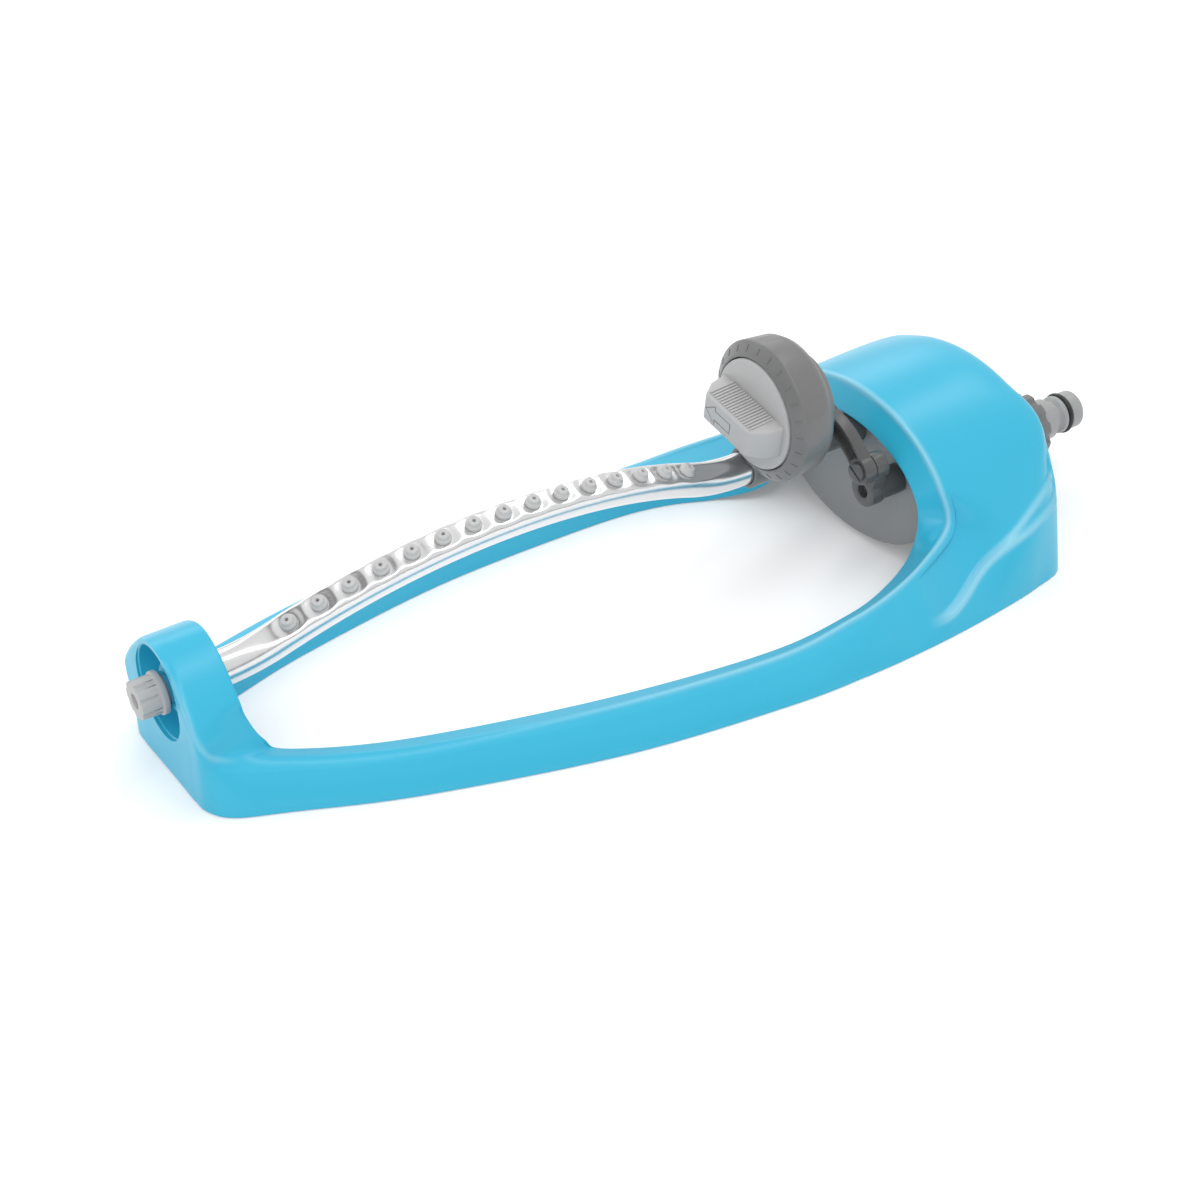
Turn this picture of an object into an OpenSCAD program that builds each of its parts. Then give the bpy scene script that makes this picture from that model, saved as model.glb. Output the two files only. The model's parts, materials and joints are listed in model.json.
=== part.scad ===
// Oscillating lawn sprinkler. A moulded frame loop has a ring at the front and a
// hood over a small water motor at the back. The motor swings an arched spray bar
// from side to side through a crank, a link arm and an adjustable dial.
// Millimetres. X runs towards the hose, Z is up, and the origin is on the ground
// under the middle of the whole length.

/* [Frame loop] */
// Length of the frame loop, from the front of the ring to the back wall
body_len = 356; // [350:1:362]
// Half of the frame loop's greatest width
body_half_w = 85; // [80:0.5:92]
// Distance of the widest place from the front of the ring
widest_x = 222; // [210:1:234]
// Half width of the side curves, carried on to the front of the ring
front_half_w = 31; // [29:0.5:33]
// Width of a side rail on the ground
rail_w = 21; // [19:0.5:24]
// Height of a side rail's crest
rail_h = 14.5; // [12.5:0.5:17]
// Distance of the crest from the rail's outer foot
crest_in = 8; // [7:0.5:9.5]
// Fall of the rail's top from the crest to its inner edge
strip_drop = 3; // [2:0.5:4]
// Rounding of the crest
crest_round = 3.5; // [2.5:0.5:5]
// Wall of the moulding
wall = 2.6; // [2:0.1:3]

/* [Ring] */
// Length of the ring along the tube
ring_len = 24; // [20:1:28]
// Outer radius of the ring
ring_r = 19.3; // [19:0.1:21]
// Radius of the tunnel through the ring
tunnel_r = 16.7; // [15.8:0.1:17]
// Height of the tube's axis at the front of the ring
axis_h = 31.7; // [30:0.1:34]
// Rise of the tube's axis towards the hood, in degrees
axis_tilt = 3.57; // [2:0.01:5]
// Set-back of the front foot from the ring's face
foot_back = 3; // [2:0.5:5]
// Outer radius of the bearing eye in the ring
eye_r = 10.2; // [9.6:0.1:11.5]
// Thickness of the three webs that carry the eye
web_t = 2.4; // [1.8:0.1:3]

/* [Hood] */
// Height of the hood's front rim
rim_h = 69.2; // [67:0.2:72]
// Half width of the hood's front rim
rim_half_w = 55; // [53:0.5:58]
// Height of the rim's widest place
rim_side_h = 28.8; // [27:0.2:31]
// Distance of the rim behind the front of the motor's plate
rim_back = 2.7; // [1.5:0.1:4]
// Lean of the rim's sides towards the back
rim_lean = 5; // [3:0.5:7]
// Height of the hood's back edge before rounding
rear_h = 75.7; // [72:0.1:78]
// Half width of the hood's back edge before rounding
rear_half_w = 64.3; // [62:0.1:66]
// Level from which the back edge's arch rises
rear_side_h = 12; // [10:0.5:15]
// Sharpness of the hood's back edge
rear_sharp = 5; // [3:0.5:7]

/* [Spray bar] */
// Swing of the spray bar at rest, in degrees from upright
swing_rest = 23.4; // [-40:0.1:40]
// Outer radius of the spray tube
tube_r = 6.5; // [6:0.1:7]
// Wall of the spray tube
tube_wall = 0.9; // [0.7:0.1:1.1]
// Angle of the tube's end bends, in degrees
arch_angle = 25; // [20:0.5:28]
// Radius of the end bends, along the tube's middle
bend_r = 57; // [45:1:65]
// Length of a straight end
front_straight = 18; // [16:0.5:22]
// Height of the flattened strip above the tube's middle
strip_h = 4.4; // [4:0.1:4.8]
// Number of nozzles
nozzle_count = 15; // [11:2:17]
// Distance from the end nozzles to the ends of the strip, along the tube's middle
nozzle_margin = 5.7; // [5:0.1:8]
// Height of the saddles between the nozzles above the dimples
saddle_h = 1.2; // [0.8:0.1:1.6]
// Room round a nozzle's foot in its dimple
dimple_room = 1.5; // [1:0.1:1.8]
// Radius of a nozzle's foot
nozzle_r = 3.4; // [3:0.1:3.8]
// Height of a nozzle above the strip
nozzle_h = 2.9; // [2.2:0.1:3.6]

/* [End plug] */
// Length of the plug in front of the tube
plug_len = 9; // [7:0.5:11]
// Radius of the plug's grip
plug_r = 7; // [6.5:0.1:7.6]
// Number of flutes on the plug
plug_flutes = 8; // [6:1:12]
// Length of the end bush
bush_len = 11; // [9:0.5:13]
// Wall of the end bush
bush_wall = 1.4; // [1:0.1:1.8]

/* [Connector and dial] */
// Radius of the connector's collar
collar_r = 8.3; // [7.9:0.1:9]
// Radius of the connector's journal
journal_r = 6.2; // [5.8:0.1:6.8]
// Radius of the water way
water_r = 4; // [3.4:0.1:4.6]
// Distance of the dial's axis from the tube's axis
dial_h = 32.5; // [31:0.1:34]
// Radius of the dial ring's front edge
dial_r = 27.5; // [26.5:0.1:29]
// Depth of the dial ring's side
dial_depth = 15; // [13:0.5:17]
// Depth of the housing behind the dial ring
housing_len = 5.5; // [4:0.5:7]
// Radius of the grip's disc
disc_r = 21.3; // [20:0.1:22]
// Length of the grip across the disc
grip_len = 37; // [32:0.5:40]
// Width of the grip
grip_w = 13.5; // [11:0.5:16]
// Height of the grip above the disc
grip_h = 12.5; // [9:0.5:15]
// Turn of the grip at rest, in degrees
grip_turn = -11; // [-45:1:45]
// Distance of the eccentric pin from the dial's axis
ecc_r = 16.8; // [15:0.1:17.5]
// Direction of the eccentric pin at rest, in degrees
ecc_turn = -94; // [-100:1:-86]
// Radius of the eccentric pin
ecc_pin_r = 2.6; // [2:0.1:3]

/* [Crank and link] */
// Crank shaft, sideways from the tube's axis
crank_y = -25.3; // [-27:0.1:-24]
// Crank shaft, up from the tube's axis
crank_z = -12.4; // [-14:0.1:-11]
// Throw of the crank
crank_r = 12.8; // [11.5:0.1:13.5]
// Direction of the crank at rest, in degrees
crank_turn = 108; // [95:1:120]
// Thickness of the crank
crank_t = 5.7; // [4.5:0.1:6.5]
// Length of the crank's hub
hub_len = 11; // [10:0.1:12.5]
// Thickness of the link arm
link_t = 5.2; // [4.2:0.1:6]
// Width of the link arm
link_w = 8; // [6.5:0.5:9]
// Rise of the link's arch above its chord
link_rise = 3; // [2:0.5:5]
// Radius of the screw in the link's eye
screw_r = 2; // [1.6:0.1:2.4]

/* [Water motor] */
// Half width of the motor's front plate
plate_a = 44.6; // [42:0.1:46]
// Half height of the motor's front plate
plate_b = 27.5; // [26.5:0.1:28]
// Middle of the plate below the tube's axis
plate_drop = 20.5; // [20:0.1:21]
// Depth of the plate behind the edge of the hood's mouth
mouth_depth = 5.5; // [4:0.5:7]
// Thickness of the plate
plate_t = 3; // [2.5:0.1:4]
// Length of the motor's case
case_len = 38; // [36:0.5:42]
// Space between the case and the back of the frame loop
case_gap = 16.5; // [14.5:0.5:18]
// Module of the gears
gear_m = 0.56; // [0.5:0.02:0.58]
// Teeth of a pinion
pinion_teeth = 12; // [12:2:14]
// Teeth of a large gear
wheel_teeth = 36; // [32:2:38]
// Width of a gear
gear_w = 4; // [3:0.1:4.5]
// Radius of the output shaft
shaft_r = 3; // [2.6:0.1:3.2]
// Radius of the axle pins
axle_r = 1.5; // [1.2:0.1:1.8]
// Radius of the turbine
turbine_r = 13.5; // [12:0.1:14.5]
// Number of turbine blades
blades = 10; // [8:1:12]

/* [Inlet] */
// Inlet axis below the tube's axis
inlet_drop = 31.9; // [31:0.1:32.6]
// Radius of the spigot
spigot_r = 8; // [7.5:0.1:8.5]
// Length of the nipple
nipple_len = 32.4; // [31:0.2:36]
// Radius of the coupling nut over its lobes
nut_r = 14; // [13.4:0.1:15]
// Length of the coupling nut
nut_len = 22; // [21:0.5:25]
// Number of lobes on the nut
nut_lobes = 10; // [8:1:14]
// Outer radius of the inlet's threaded neck
neck_r = 10.2; // [9.8:0.1:10.6]

/* [Fits] */
// Running clearance of a shaft in its hole
run_gap = 0.05; // [0.02:0.01:0.09]
// Clearance between fixed pieces
seat_gap = 0.15; // [0.1:0.05:0.25]
// Clearance between moving faces
move_gap = 0.4; // [0.3:0.05:0.5]

/* [Hidden] */
$fn = 48;

// Colours of the mouldings and metals
sky_blue = "#3fb8de";
dark_grey = "#6e6e6e";
light_grey = "#bdbdbd";
pale_metal = "#d9d9d9";
steel = "#a9adb0";
black_rubber = "#1e1e1e";
white_plastic = "#e6e3da";

// Places along the tube's axis, from the front of the ring
plate_s = body_len - case_gap - case_len - plate_t;
plate_back = plate_s + plate_t;
case_back = plate_back + case_len;
hub_s = plate_s - move_gap - hub_len;
crank_s = hub_s - crank_t;
link_s = crank_s - move_gap - link_t;
pin_end = link_s - move_gap;
ecc_t = 4;
ecc_pin_len = 7.3;
ecc_s = pin_end - ecc_pin_len - ecc_t;
housing_back = ecc_s - move_gap;
dial_back = housing_back - housing_len;
dial_edge = dial_back - dial_depth;
dial_cone = 3.5;
disc_s = dial_edge - dial_cone - 1;
disc_t = 4;
collar_s = dial_edge + 0.5;
tube_start = 4.5;
bend_s0 = tube_start + front_straight;
bend_s1 = collar_s - 2;
tube_end = bend_s1 + front_straight;
arch_mid = (bend_s0 + bend_s1) / 2;
arch_r = (bend_s1 - bend_s0) / 2 / sin(arch_angle) - bend_r;
arch_base = bend_r * (1 - cos(arch_angle)) - arch_r * cos(arch_angle);
nozzle_step = 2 * (arch_angle - nozzle_margin / arch_r * 180 / PI) / (nozzle_count - 1);
plug_front = tube_start - 1.5 - plug_len;
bush_s = 8;

// Places on the inlet's axis
nut_s = body_len + 14;
neck_end = nut_s + 12;
washer_t = 2;
nipple_s = neck_end + washer_t + 2 * seat_gap;
nipple_flange_t = 2.6;
spigot_tip = nipple_s + nipple_len;

// Middle of the whole length, between the plug's front and the spigot's tip
x_front = plug_front * cos(axis_tilt) - plug_r * sin(axis_tilt);
x_back = spigot_tip * cos(axis_tilt) + (inlet_drop + spigot_r) * sin(axis_tilt);
x_mid = (x_front + x_back) / 2;

// Axes of the drive, across the tube's axis
crank_axis = [crank_y, crank_z];
gear_distance = gear_m * (pinion_teeth + wheel_teeth) / 2;
compound_dir = -25;
turbine_dir = -10;
compound_axis = crank_axis + gear_distance * [cos(compound_dir), sin(compound_dir)];
turbine_axis = compound_axis + gear_distance * [cos(turbine_dir), sin(turbine_dir)];
inlet_axis = [0, -inlet_drop];
plate_axis = [0, -plate_drop];
crank_pin = crank_axis + crank_r * [cos(crank_turn), sin(crank_turn)];
ecc_in_bar = [ecc_r * cos(ecc_turn), dial_h + ecc_r * sin(ecc_turn)];
ecc_pin = [ecc_in_bar[0] * cos(swing_rest) - ecc_in_bar[1] * sin(swing_rest),
    ecc_in_bar[0] * sin(swing_rest) + ecc_in_bar[1] * cos(swing_rest)];

// Axial places inside the motor
output_gear_s = plate_back + 4.5;
compound_gear_s = output_gear_s + gear_w + 4;
inner_s = compound_gear_s + gear_w + 2;
inner_t = 2.5;
turbine_s = inner_s + inner_t + 2;
turbine_w = 10;
case_wall = 2.4;
case_step = 1.4;

// Frames: along the drive axis, with the swung bar and about the dial
module drive() { translate([-x_mid, 0, axis_h]) rotate([0, -axis_tilt, 0]) children(); }
module bar() { drive() rotate([swing_rest, 0, 0]) children(); }
module dial() { bar() translate([0, 0, dial_h]) children(); }
module across(s, at = [0, 0]) { translate([s, at[0], at[1]]) rotate([90, 0, 90]) children(); }
module rod(s0, s1, r, at = [0, 0]) { across(s0, at) cylinder(h = s1 - s0, r = r); }
module pipe(s0, s1, r_out, r_in, at = [0, 0]) {
    difference() {
        rod(s0, s1, r_out, at);
        rod(s0 - 1, s1 + 1, r_in, at);
    }
}
module o_ring(s, r_groove, r_cord, at = [0, 0]) {
    across(s, at) rotate_extrude() translate([r_groove + r_cord, 0]) circle(r_cord);
}

// Frame loop: a shell lofted through key sections from the ring along a rail to
// the hood and back. A section runs from the outer foot up a flank to the crest,
// along the top to the inner edge and down the inner wall.
outline_r = (pow(widest_x, 2) + pow(body_half_w - front_half_w, 2)) / (2 * (body_half_w - front_half_w));
function half_w(x) = body_half_w - outline_r + sqrt(pow(outline_r, 2) - pow(x - widest_x, 2));
function on_drive(s, y, h) = [s * cos(axis_tilt) - h * sin(axis_tilt), y,
    axis_h + s * sin(axis_tilt) + h * cos(axis_tilt)];

mouth_gap = 0.3;
mouth_a = plate_a + mouth_gap;
mouth_b = plate_b + mouth_gap;
mouth_s = plate_s - mouth_depth;
rim_x = mouth_s + rim_back;

// A key is outer foot, crest, inner edge, inner foot and flank corner, then the
// flank's sharpness with the share of the wall that is left at the inner edge
function lean_corner(foot, crest) = [mix(foot[0], crest[0], 0.15), mix(foot[1], crest[1], 0.3), 0.85 * crest[2]];
function soft_key(foot, crest, edge, inner, thin = 1) = [foot, crest, edge, inner,
    lean_corner(foot, crest), [0.5, thin, 0]];
function ring_key(turn, foot_y, spread) = soft_key(
    [foot_back, -foot_y, 0],
    [1.5, -ring_r * sin(turn) - spread, axis_h + ring_r * cos(turn)],
    [ring_len, -ring_r * sin(turn) - spread, axis_h + ring_len * tan(axis_tilt) + ring_r * cos(turn)],
    [ring_len + 2, -foot_y, 0], 0.7);
function rail_key(x, lift, inset, skew) = soft_key(
    [x, -half_w(x), 0],
    [x + skew / 2, -half_w(x) + crest_in + inset, rail_h + lift],
    [x + skew, -half_w(x) + rail_w - 2, rail_h + lift - strip_drop],
    [x + skew, -half_w(x) + rail_w, 0]);
function rim(turn) = [rim_x + rim_lean * (1 - cos(turn)), -rim_half_w * sin(turn),
    rim_side_h + (rim_h - rim_side_h) * cos(turn)];
function rear(turn) = [body_len + 1, -rear_half_w * sin(turn), rear_side_h + (rear_h - rear_side_h) * cos(turn)];
function mouth(s, turn) = on_drive(s, -mouth_a * sin(turn), -plate_drop + mouth_b * cos(turn));
function hood_key(foot, turn, corner, sharp) = [foot, rim(turn), mouth(mouth_s - 1, turn),
    mouth(plate_back + 1, turn), corner, [sharp, 0.4, 0]];
function foot_at(x) = [x, -half_w(x), 0];
function skirt(x, inset, z) = [x, -half_w(x) + inset, z];

near_keys = [
    ring_key(0, 0, 0),
    ring_key(40, 11, 1),
    ring_key(75, 21, 6),
    soft_key([4, -29, 0], [2.5, -30.5, 27], [25, -25, 29], [28, -25, 0], 0.45),
    soft_key([10, -36.7, 0], [10, -30, 19.5], [29, -28, 19], [32, -29, 0], 0.45),
    rail_key(27, 0.5, 0, 9),
    rail_key(70, 0, 0, 3),
    rail_key(140, 0.5, 1, 0),
    rail_key(205, 0, 2.4, 1),
    rail_key(240, 3.3, 4.5, 3),
    [foot_at(276), [273.8, -67.8, 24], mouth(mouth_s - 5, 112), mouth(mouth_s - 2, 116),
        skirt(276, 3, 8), [1, 0.5, 0]],
    hood_key(foot_at(306), 88, skirt(306, 6, 14), 2),
    hood_key(foot_at(333), 66, skirt(333, 2, 28), 3),
    hood_key([body_len - 1.5, -65.5, 0], 44, rear(44), rear_sharp),
    hood_key([body_len, -39.3, 0], 22, rear(22), rear_sharp),
    hood_key([body_len, 0, 0], 0, rear(0), rear_sharp)];

function mirrored(key) = [for (i = [0:5]) i < 5 ? [key[i][0], -key[i][1], key[i][2]] : key[i]];
near_last = len(near_keys) - 1;
keys = concat(near_keys, [for (i = [near_last - 1:-1:1]) mirrored(near_keys[i])]);
key_count = len(keys);
function spline(a, b, c, d, t) = 0.5 * (2 * b + (c - a) * t + (2 * a - 5 * b + 4 * c - d) * t * t
    + (3 * b - a - 3 * c + d) * t * t * t);
function key_at(k, t) = let (a = keys[(k + key_count - 1) % key_count], b = keys[k],
    c = keys[(k + 1) % key_count], d = keys[(k + 2) % key_count])
    [for (i = [0:5]) spline(a[i], b[i], c[i], d[i], t)];

function mix(a, b, t) = a + (b - a) * t;
function level(p, z) = [p[0], p[1], z];
function bend(a, b, c, t) = mix(mix(a, b, t), mix(b, c, t), t);
function conic(a, b, c, w, t) = let (u = 1 - t)
    (a * u * u + b * 2 * w * u * t + c * t * t) / (u * u + 2 * w * u * t + t * t);

// Points of one section, outer foot first
flank_steps = [0, 0.1, 0.24, 0.4, 0.58, 0.78, 1];
function flank(key, t) = conic(key[0], key[4], key[1], key[5][0], t);
function toward(a, b, d) = a + (b - a) * min(0.45, d / norm(b - a));
function section(key) = let (
    last = 1 - min(0.35, crest_round / (2 * key[5][0] * norm(key[1] - key[4]))),
    shoulder = flank(key, last), top = toward(key[1], key[2], crest_round),
    edge_a = toward(key[2], key[1], 1.2), edge_b = toward(key[2], key[3], 1.2),
    foot = level(key[3], max(0, key[3][2])))
    concat([for (t = flank_steps) flank(key, last * t)],
        [for (t = [0.33, 0.67, 1]) bend(shoulder, key[1], top, t)],
        [mix(top, edge_a, 0.5), edge_a, edge_b, mix(edge_b, foot, 0.5), foot]);

steps_per_key = 3;
stations = [for (k = [0:key_count - 1]) for (j = [0:steps_per_key - 1]) key_at(k, j / steps_per_key)];
skin = [for (key = stations) section(key)];
station_count = len(skin);
point_count = len(skin[0]);
function unit(v) = v / norm(v);
function skin_normal(i, j) = unit(cross(
    skin[(i + 1) % station_count][j] - skin[(i + station_count - 1) % station_count][j],
    skin[i][min(j + 1, point_count - 1)] - skin[i][max(j - 1, 0)]));
function wall_at(i, j) = wall * (j < 9 ? 1 : j < 10 ? (1 + stations[i][5][1]) / 2 : stations[i][5][1]);
function inner_point(i, j) = let (p = skin[i][j], q = p - wall_at(i, j) * skin_normal(i, j))
    level(q, p[2] < 0.01 ? 0 : max(0, q[2]));
loops = [for (i = [0:station_count - 1]) concat(skin[i],
    [for (j = [point_count - 1:-1:0]) inner_point(i, j)])];
loop_size = 2 * point_count;

module lofted_shell() {
    polyhedron(
        points = [for (row = loops) each row],
        faces = [for (i = [0:station_count - 1]) for (j = [0:loop_size - 1])
            let (n = (i + 1) % station_count, m = (j + 1) % loop_size,
                a = i * loop_size + j, b = i * loop_size + m,
                c = n * loop_size + m, d = n * loop_size + j)
            each [[a, b, c], [a, c, d]]],
        convexity = 10);
}

// Tunnel, bearing eye and its three webs inside the ring
tunnel_wall = 2;
eye_s0 = bush_s;
eye_s1 = bush_s + bush_len - 1;
bush_out = tube_r + run_gap + bush_wall;
module base_shell() color(sky_blue) {
    difference() {
        translate([-x_mid, 0, 0]) lofted_shell();
        drive() rod(-9, ring_len + 9, tunnel_r + 0.5);
        drive() oval_slab(mouth_s - 4, plate_back + 4, -0.7 * mouth_gap);
        drive() rod(body_len - 14, body_len + 9, neck_r + 0.6, inlet_axis);
    }
    drive() pipe(3, ring_len - 1, tunnel_r + tunnel_wall, tunnel_r);
    drive() pipe(eye_s0, eye_s1, eye_r, bush_out + seat_gap);
    drive() for (turn = [0, 120, 240]) rotate([turn, 0, 0])
        translate([eye_s0, -web_t / 2, eye_r - 0.8]) cube([eye_s1 - eye_s0, web_t, tunnel_r - eye_r + 1.6]);
}

// Plain bearing bush in the eye, with a thrust flange in front
module end_bush() color(light_grey) drive() difference() {
    union() {
        rod(bush_s - 1.4, bush_s - seat_gap, bush_out + 0.6);
        rod(bush_s - 0.5, bush_s + bush_len, bush_out);
    }
    rod(bush_s - 3, bush_s + bush_len + 1, tube_r + run_gap);
}

// Spray tube: straight ends, two bends and the main arch with its flat strip. The
// forming of the strip draws the arch in a little.
draw_in = 0.04;
arch_lap = 0.03;
module tube_section(r, flat) {
    intersection() {
        circle(r);
        translate([-2 * r, -2 * r]) square([2 * r + flat, 4 * r]);
    }
}
module arch_plane(s, z) { translate([s, 0, z]) rotate([90, 0, 0]) children(); }
module bend_wall() {
    rotate_extrude(angle = arch_angle) translate([bend_r, 0]) difference() {
        circle(tube_r);
        mirror([1, 0]) tube_section(tube_r - tube_wall, strip_h - tube_wall);
    }
}
module arch_wall() {
    rotate_extrude(angle = arch_angle + arch_lap) translate([arch_r, 0]) difference() {
        tube_section(tube_r - draw_in, strip_h + saddle_h);
        tube_section(tube_r - draw_in - tube_wall, strip_h - draw_in - tube_wall);
    }
}
module on_strip() {
    for (i = [0:nozzle_count - 1])
        arch_plane(arch_mid, arch_base)
            rotate([0, 0, 90 + (i - (nozzle_count - 1) / 2) * nozzle_step])
                translate([arch_r + strip_h, 0, 0]) rotate([0, 90, 0]) children();
}
nozzle_stem_r = nozzle_r - 1;
module half_tube() {
    pipe(tube_start, bend_s0, tube_r, tube_r - tube_wall);
    arch_plane(bend_s0, bend_r) rotate([0, 0, -90]) bend_wall();
    arch_plane(arch_mid, arch_base) rotate([0, 0, 90]) arch_wall();
}
module spray_tube() color(pale_metal) bar() difference() {
    union() {
        half_tube();
        translate([2 * arch_mid, 0, 0]) mirror([1, 0, 0]) half_tube();
    }
    on_strip() {
        translate([0, 0, -tube_wall - 1]) cylinder(h = tube_wall + 3, r = nozzle_stem_r + seat_gap);
        cylinder(h = tube_r, r = nozzle_r + dimple_room);
    }
}
module spray_nozzles() color(light_grey) bar() on_strip() rotate_extrude() polygon([
    [0.5, -tube_wall - 1.1], [nozzle_stem_r + 0.5, -tube_wall - 1.1],
    [nozzle_stem_r + 0.5, -tube_wall - seat_gap], [nozzle_stem_r, -tube_wall - seat_gap],
    [nozzle_stem_r, seat_gap], [nozzle_r, seat_gap], [nozzle_r - 0.2, 0.45 * nozzle_h],
    [nozzle_r - 0.8, 0.55 * nozzle_h], [nozzle_r - 1, nozzle_h], [0.5, nozzle_h]]);

// End plug: fluted grip, flange and stem with an O-ring groove
plug_back = plug_front + plug_len;
stem_r = tube_r - tube_wall - seat_gap;
stem_end = plug_back + 11;
plug_groove_s = plug_back + 6;
plug_groove_r = stem_r - 1.45;
plug_cord_r = 0.73;
module end_plug() color(light_grey) bar() difference() {
    union() {
        rod(plug_front, plug_back - 1, plug_r);
        rod(plug_back - 1.6, plug_back + 0.6, plug_r + 0.8);
        rod(plug_back, stem_end, stem_r);
    }
    rod(plug_front - 1, plug_front + 2.2, 0.4 * plug_r);
    for (i = [0:plug_flutes - 1]) rotate([i * 360 / plug_flutes, 0, 0])
        rod(plug_front - 1, plug_back - 2.4, 1.1, [0, plug_r + 0.5]);
    pipe(plug_groove_s - 0.95, plug_groove_s + 0.95, stem_r + 1, plug_groove_r);
}
module plug_o_ring() color(black_rubber) bar() o_ring(plug_groove_s, plug_groove_r, plug_cord_r);

// Connector: collar on the tube, dial ring, housing and the journal into the motor
journal_end = plate_back + 9;
seal_s = plate_back + 4;
seal_groove_r = journal_r - 1.3;
seal_cord_r = 0.65;
dial_shaft_r = 5;
dial_recess_s = disc_s + disc_t + move_gap;
ring_front_s = dial_edge - dial_cone;
module dial_ring() {
    across(0) rotate_extrude() polygon([
        [dial_shaft_r + run_gap, dial_recess_s], [disc_r + move_gap, dial_recess_s],
        [disc_r + move_gap, ring_front_s], [disc_r + 1.2, ring_front_s], [dial_r, dial_edge],
        [dial_r - 1, dial_back - 4], [dial_r - 2.6, dial_back - 1.2], [dial_r - 4.6, dial_back],
        [dial_r - 7.5, dial_back], [dial_r - 10, housing_back],
        [dial_shaft_r + run_gap, housing_back]]);
}
module tube_connector() color(dark_grey) {
    bar() difference() {
        union() {
            rod(collar_s, tube_end + 2.5, collar_r);
            rod(tube_end, journal_end, journal_r);
            translate([collar_s + 2, -5, 0]) cube([housing_back - collar_s - 4, 10, dial_h - dial_shaft_r - 2]);
            translate([0, 0, dial_h]) dial_ring();
        }
        rod(disc_s - 4, tube_end + seat_gap, tube_r + seat_gap);
        rod(tube_end - 1, journal_end + 1, water_r);
        pipe(seal_s - 0.8, seal_s + 0.8, journal_r + 1, seal_groove_r);
    }
}
module outlet_seal() color(black_rubber) bar() o_ring(seal_s, seal_groove_r, seal_cord_r);

// Range dial: grip and disc on a shaft, with the eccentric screwed on behind
ecc_at = [ecc_r * cos(ecc_turn), ecc_r * sin(ecc_turn)];
dial_screw_r = 1.5;
rib_count = 12;
module dial_grip() color(light_grey) dial() {
    difference() {
        union() {
            rod(disc_s, disc_s + disc_t, disc_r);
            rod(disc_s + disc_t - 1, ecc_s - seat_gap, dial_shaft_r);
        }
        rod(ecc_s - 11, ecc_s + 1, dial_screw_r);
    }
    rotate([grip_turn, 0, 0]) {
        translate([0, 0, -grip_w / 2]) linear_extrude(grip_w) polygon([
            [disc_s + 0.5, -grip_len / 2], [disc_s - 0.7 * grip_h, -grip_len / 2 + 1],
            [disc_s - grip_h, -grip_len / 2 + 5], [disc_s - grip_h, grip_len / 2 - 5],
            [disc_s - 0.7 * grip_h, grip_len / 2 - 1], [disc_s + 0.5, grip_len / 2]]);
        for (i = [0:rib_count - 1]) translate([disc_s - 0.65 * grip_h, (i - (rib_count - 1) / 2) * 2.4 - 0.5, 0])
            cube([0.65 * grip_h - 1, 1, grip_w / 2 + 0.5]);
    }
}
module dial_eccentric() color(dark_grey) dial() {
    difference() {
        union() {
            rod(ecc_s, ecc_s + ecc_t, 6.5);
            rod(ecc_s, ecc_s + ecc_t, ecc_pin_r + 1.8, ecc_at);
            rotate([ecc_turn, 0, 0]) translate([ecc_s, 0, -ecc_pin_r - 1.6])
                cube([ecc_t, ecc_r, 2 * ecc_pin_r + 3.2]);
        }
        rod(ecc_s - 1, ecc_s + ecc_t + 1, dial_screw_r + seat_gap);
    }
    rod(ecc_s + ecc_t - 1, pin_end, ecc_pin_r, ecc_at);
}
module dial_screw() color(steel) dial() difference() {
    union() {
        rod(ecc_s - 9, ecc_s + ecc_t + 1, dial_screw_r - seat_gap);
        rod(ecc_s + ecc_t + seat_gap, ecc_s + ecc_t + 2, 3);
    }
    translate([ecc_s + ecc_t + 1.2, -4, -0.4]) cube([2, 8, 0.8]);
}

// Link arm: an arched channel from the crank pin to the eccentric pin
link_len = norm(ecc_pin - crank_pin);
link_bow = (pow(link_len, 2) / 4 + pow(link_rise, 2)) / (2 * link_rise);
link_way = (ecc_pin - crank_pin) / link_len;
link_up = [-link_way[1], link_way[0]];
link_centre = (ecc_pin + crank_pin) / 2 - link_up * (link_bow - link_rise);
link_eye_r = 5.4;
link_boss_r = 4.8;
module link_band(w) {
    reach_a = link_centre + 1.6 * (crank_pin - link_centre);
    reach_b = link_centre + 1.6 * (ecc_pin - link_centre);
    reach_m = link_centre + 2 * link_bow * link_up;
    intersection() {
        translate(link_centre) difference() {
            circle(link_bow + w / 2);
            circle(link_bow - w / 2);
        }
        polygon([link_centre, reach_b, reach_m, reach_a]);
    }
}
module link_arm() color(dark_grey) drive() difference() {
    union() {
        across(link_s) linear_extrude(link_t) link_band(link_w);
        rod(link_s, link_s + link_t, link_eye_r, crank_pin);
        rod(link_s, link_s + link_t, link_boss_r, ecc_pin);
    }
    difference() {
        across(link_s - 1) linear_extrude(link_t / 2 + 1) link_band(link_w - 2.4);
        rod(link_s - 2, link_s + link_t, link_eye_r, crank_pin);
        rod(link_s - 2, link_s + link_t, link_boss_r, ecc_pin);
    }
    rod(link_s - 1, link_s + link_t + 1, screw_r + run_gap, crank_pin);
}
module link_screw() color(dark_grey) drive() difference() {
    union() {
        rod(link_s - 1.7, link_s - seat_gap, 3.9, crank_pin);
        rod(link_s - 1, crank_s + crank_t - 0.6, screw_r, crank_pin);
    }
    translate([link_s - 2.2, crank_pin[0], crank_pin[1]]) rotate([35, 0, 0])
        translate([0, -5, -0.5]) cube([1.4, 10, 1]);
}

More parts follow.
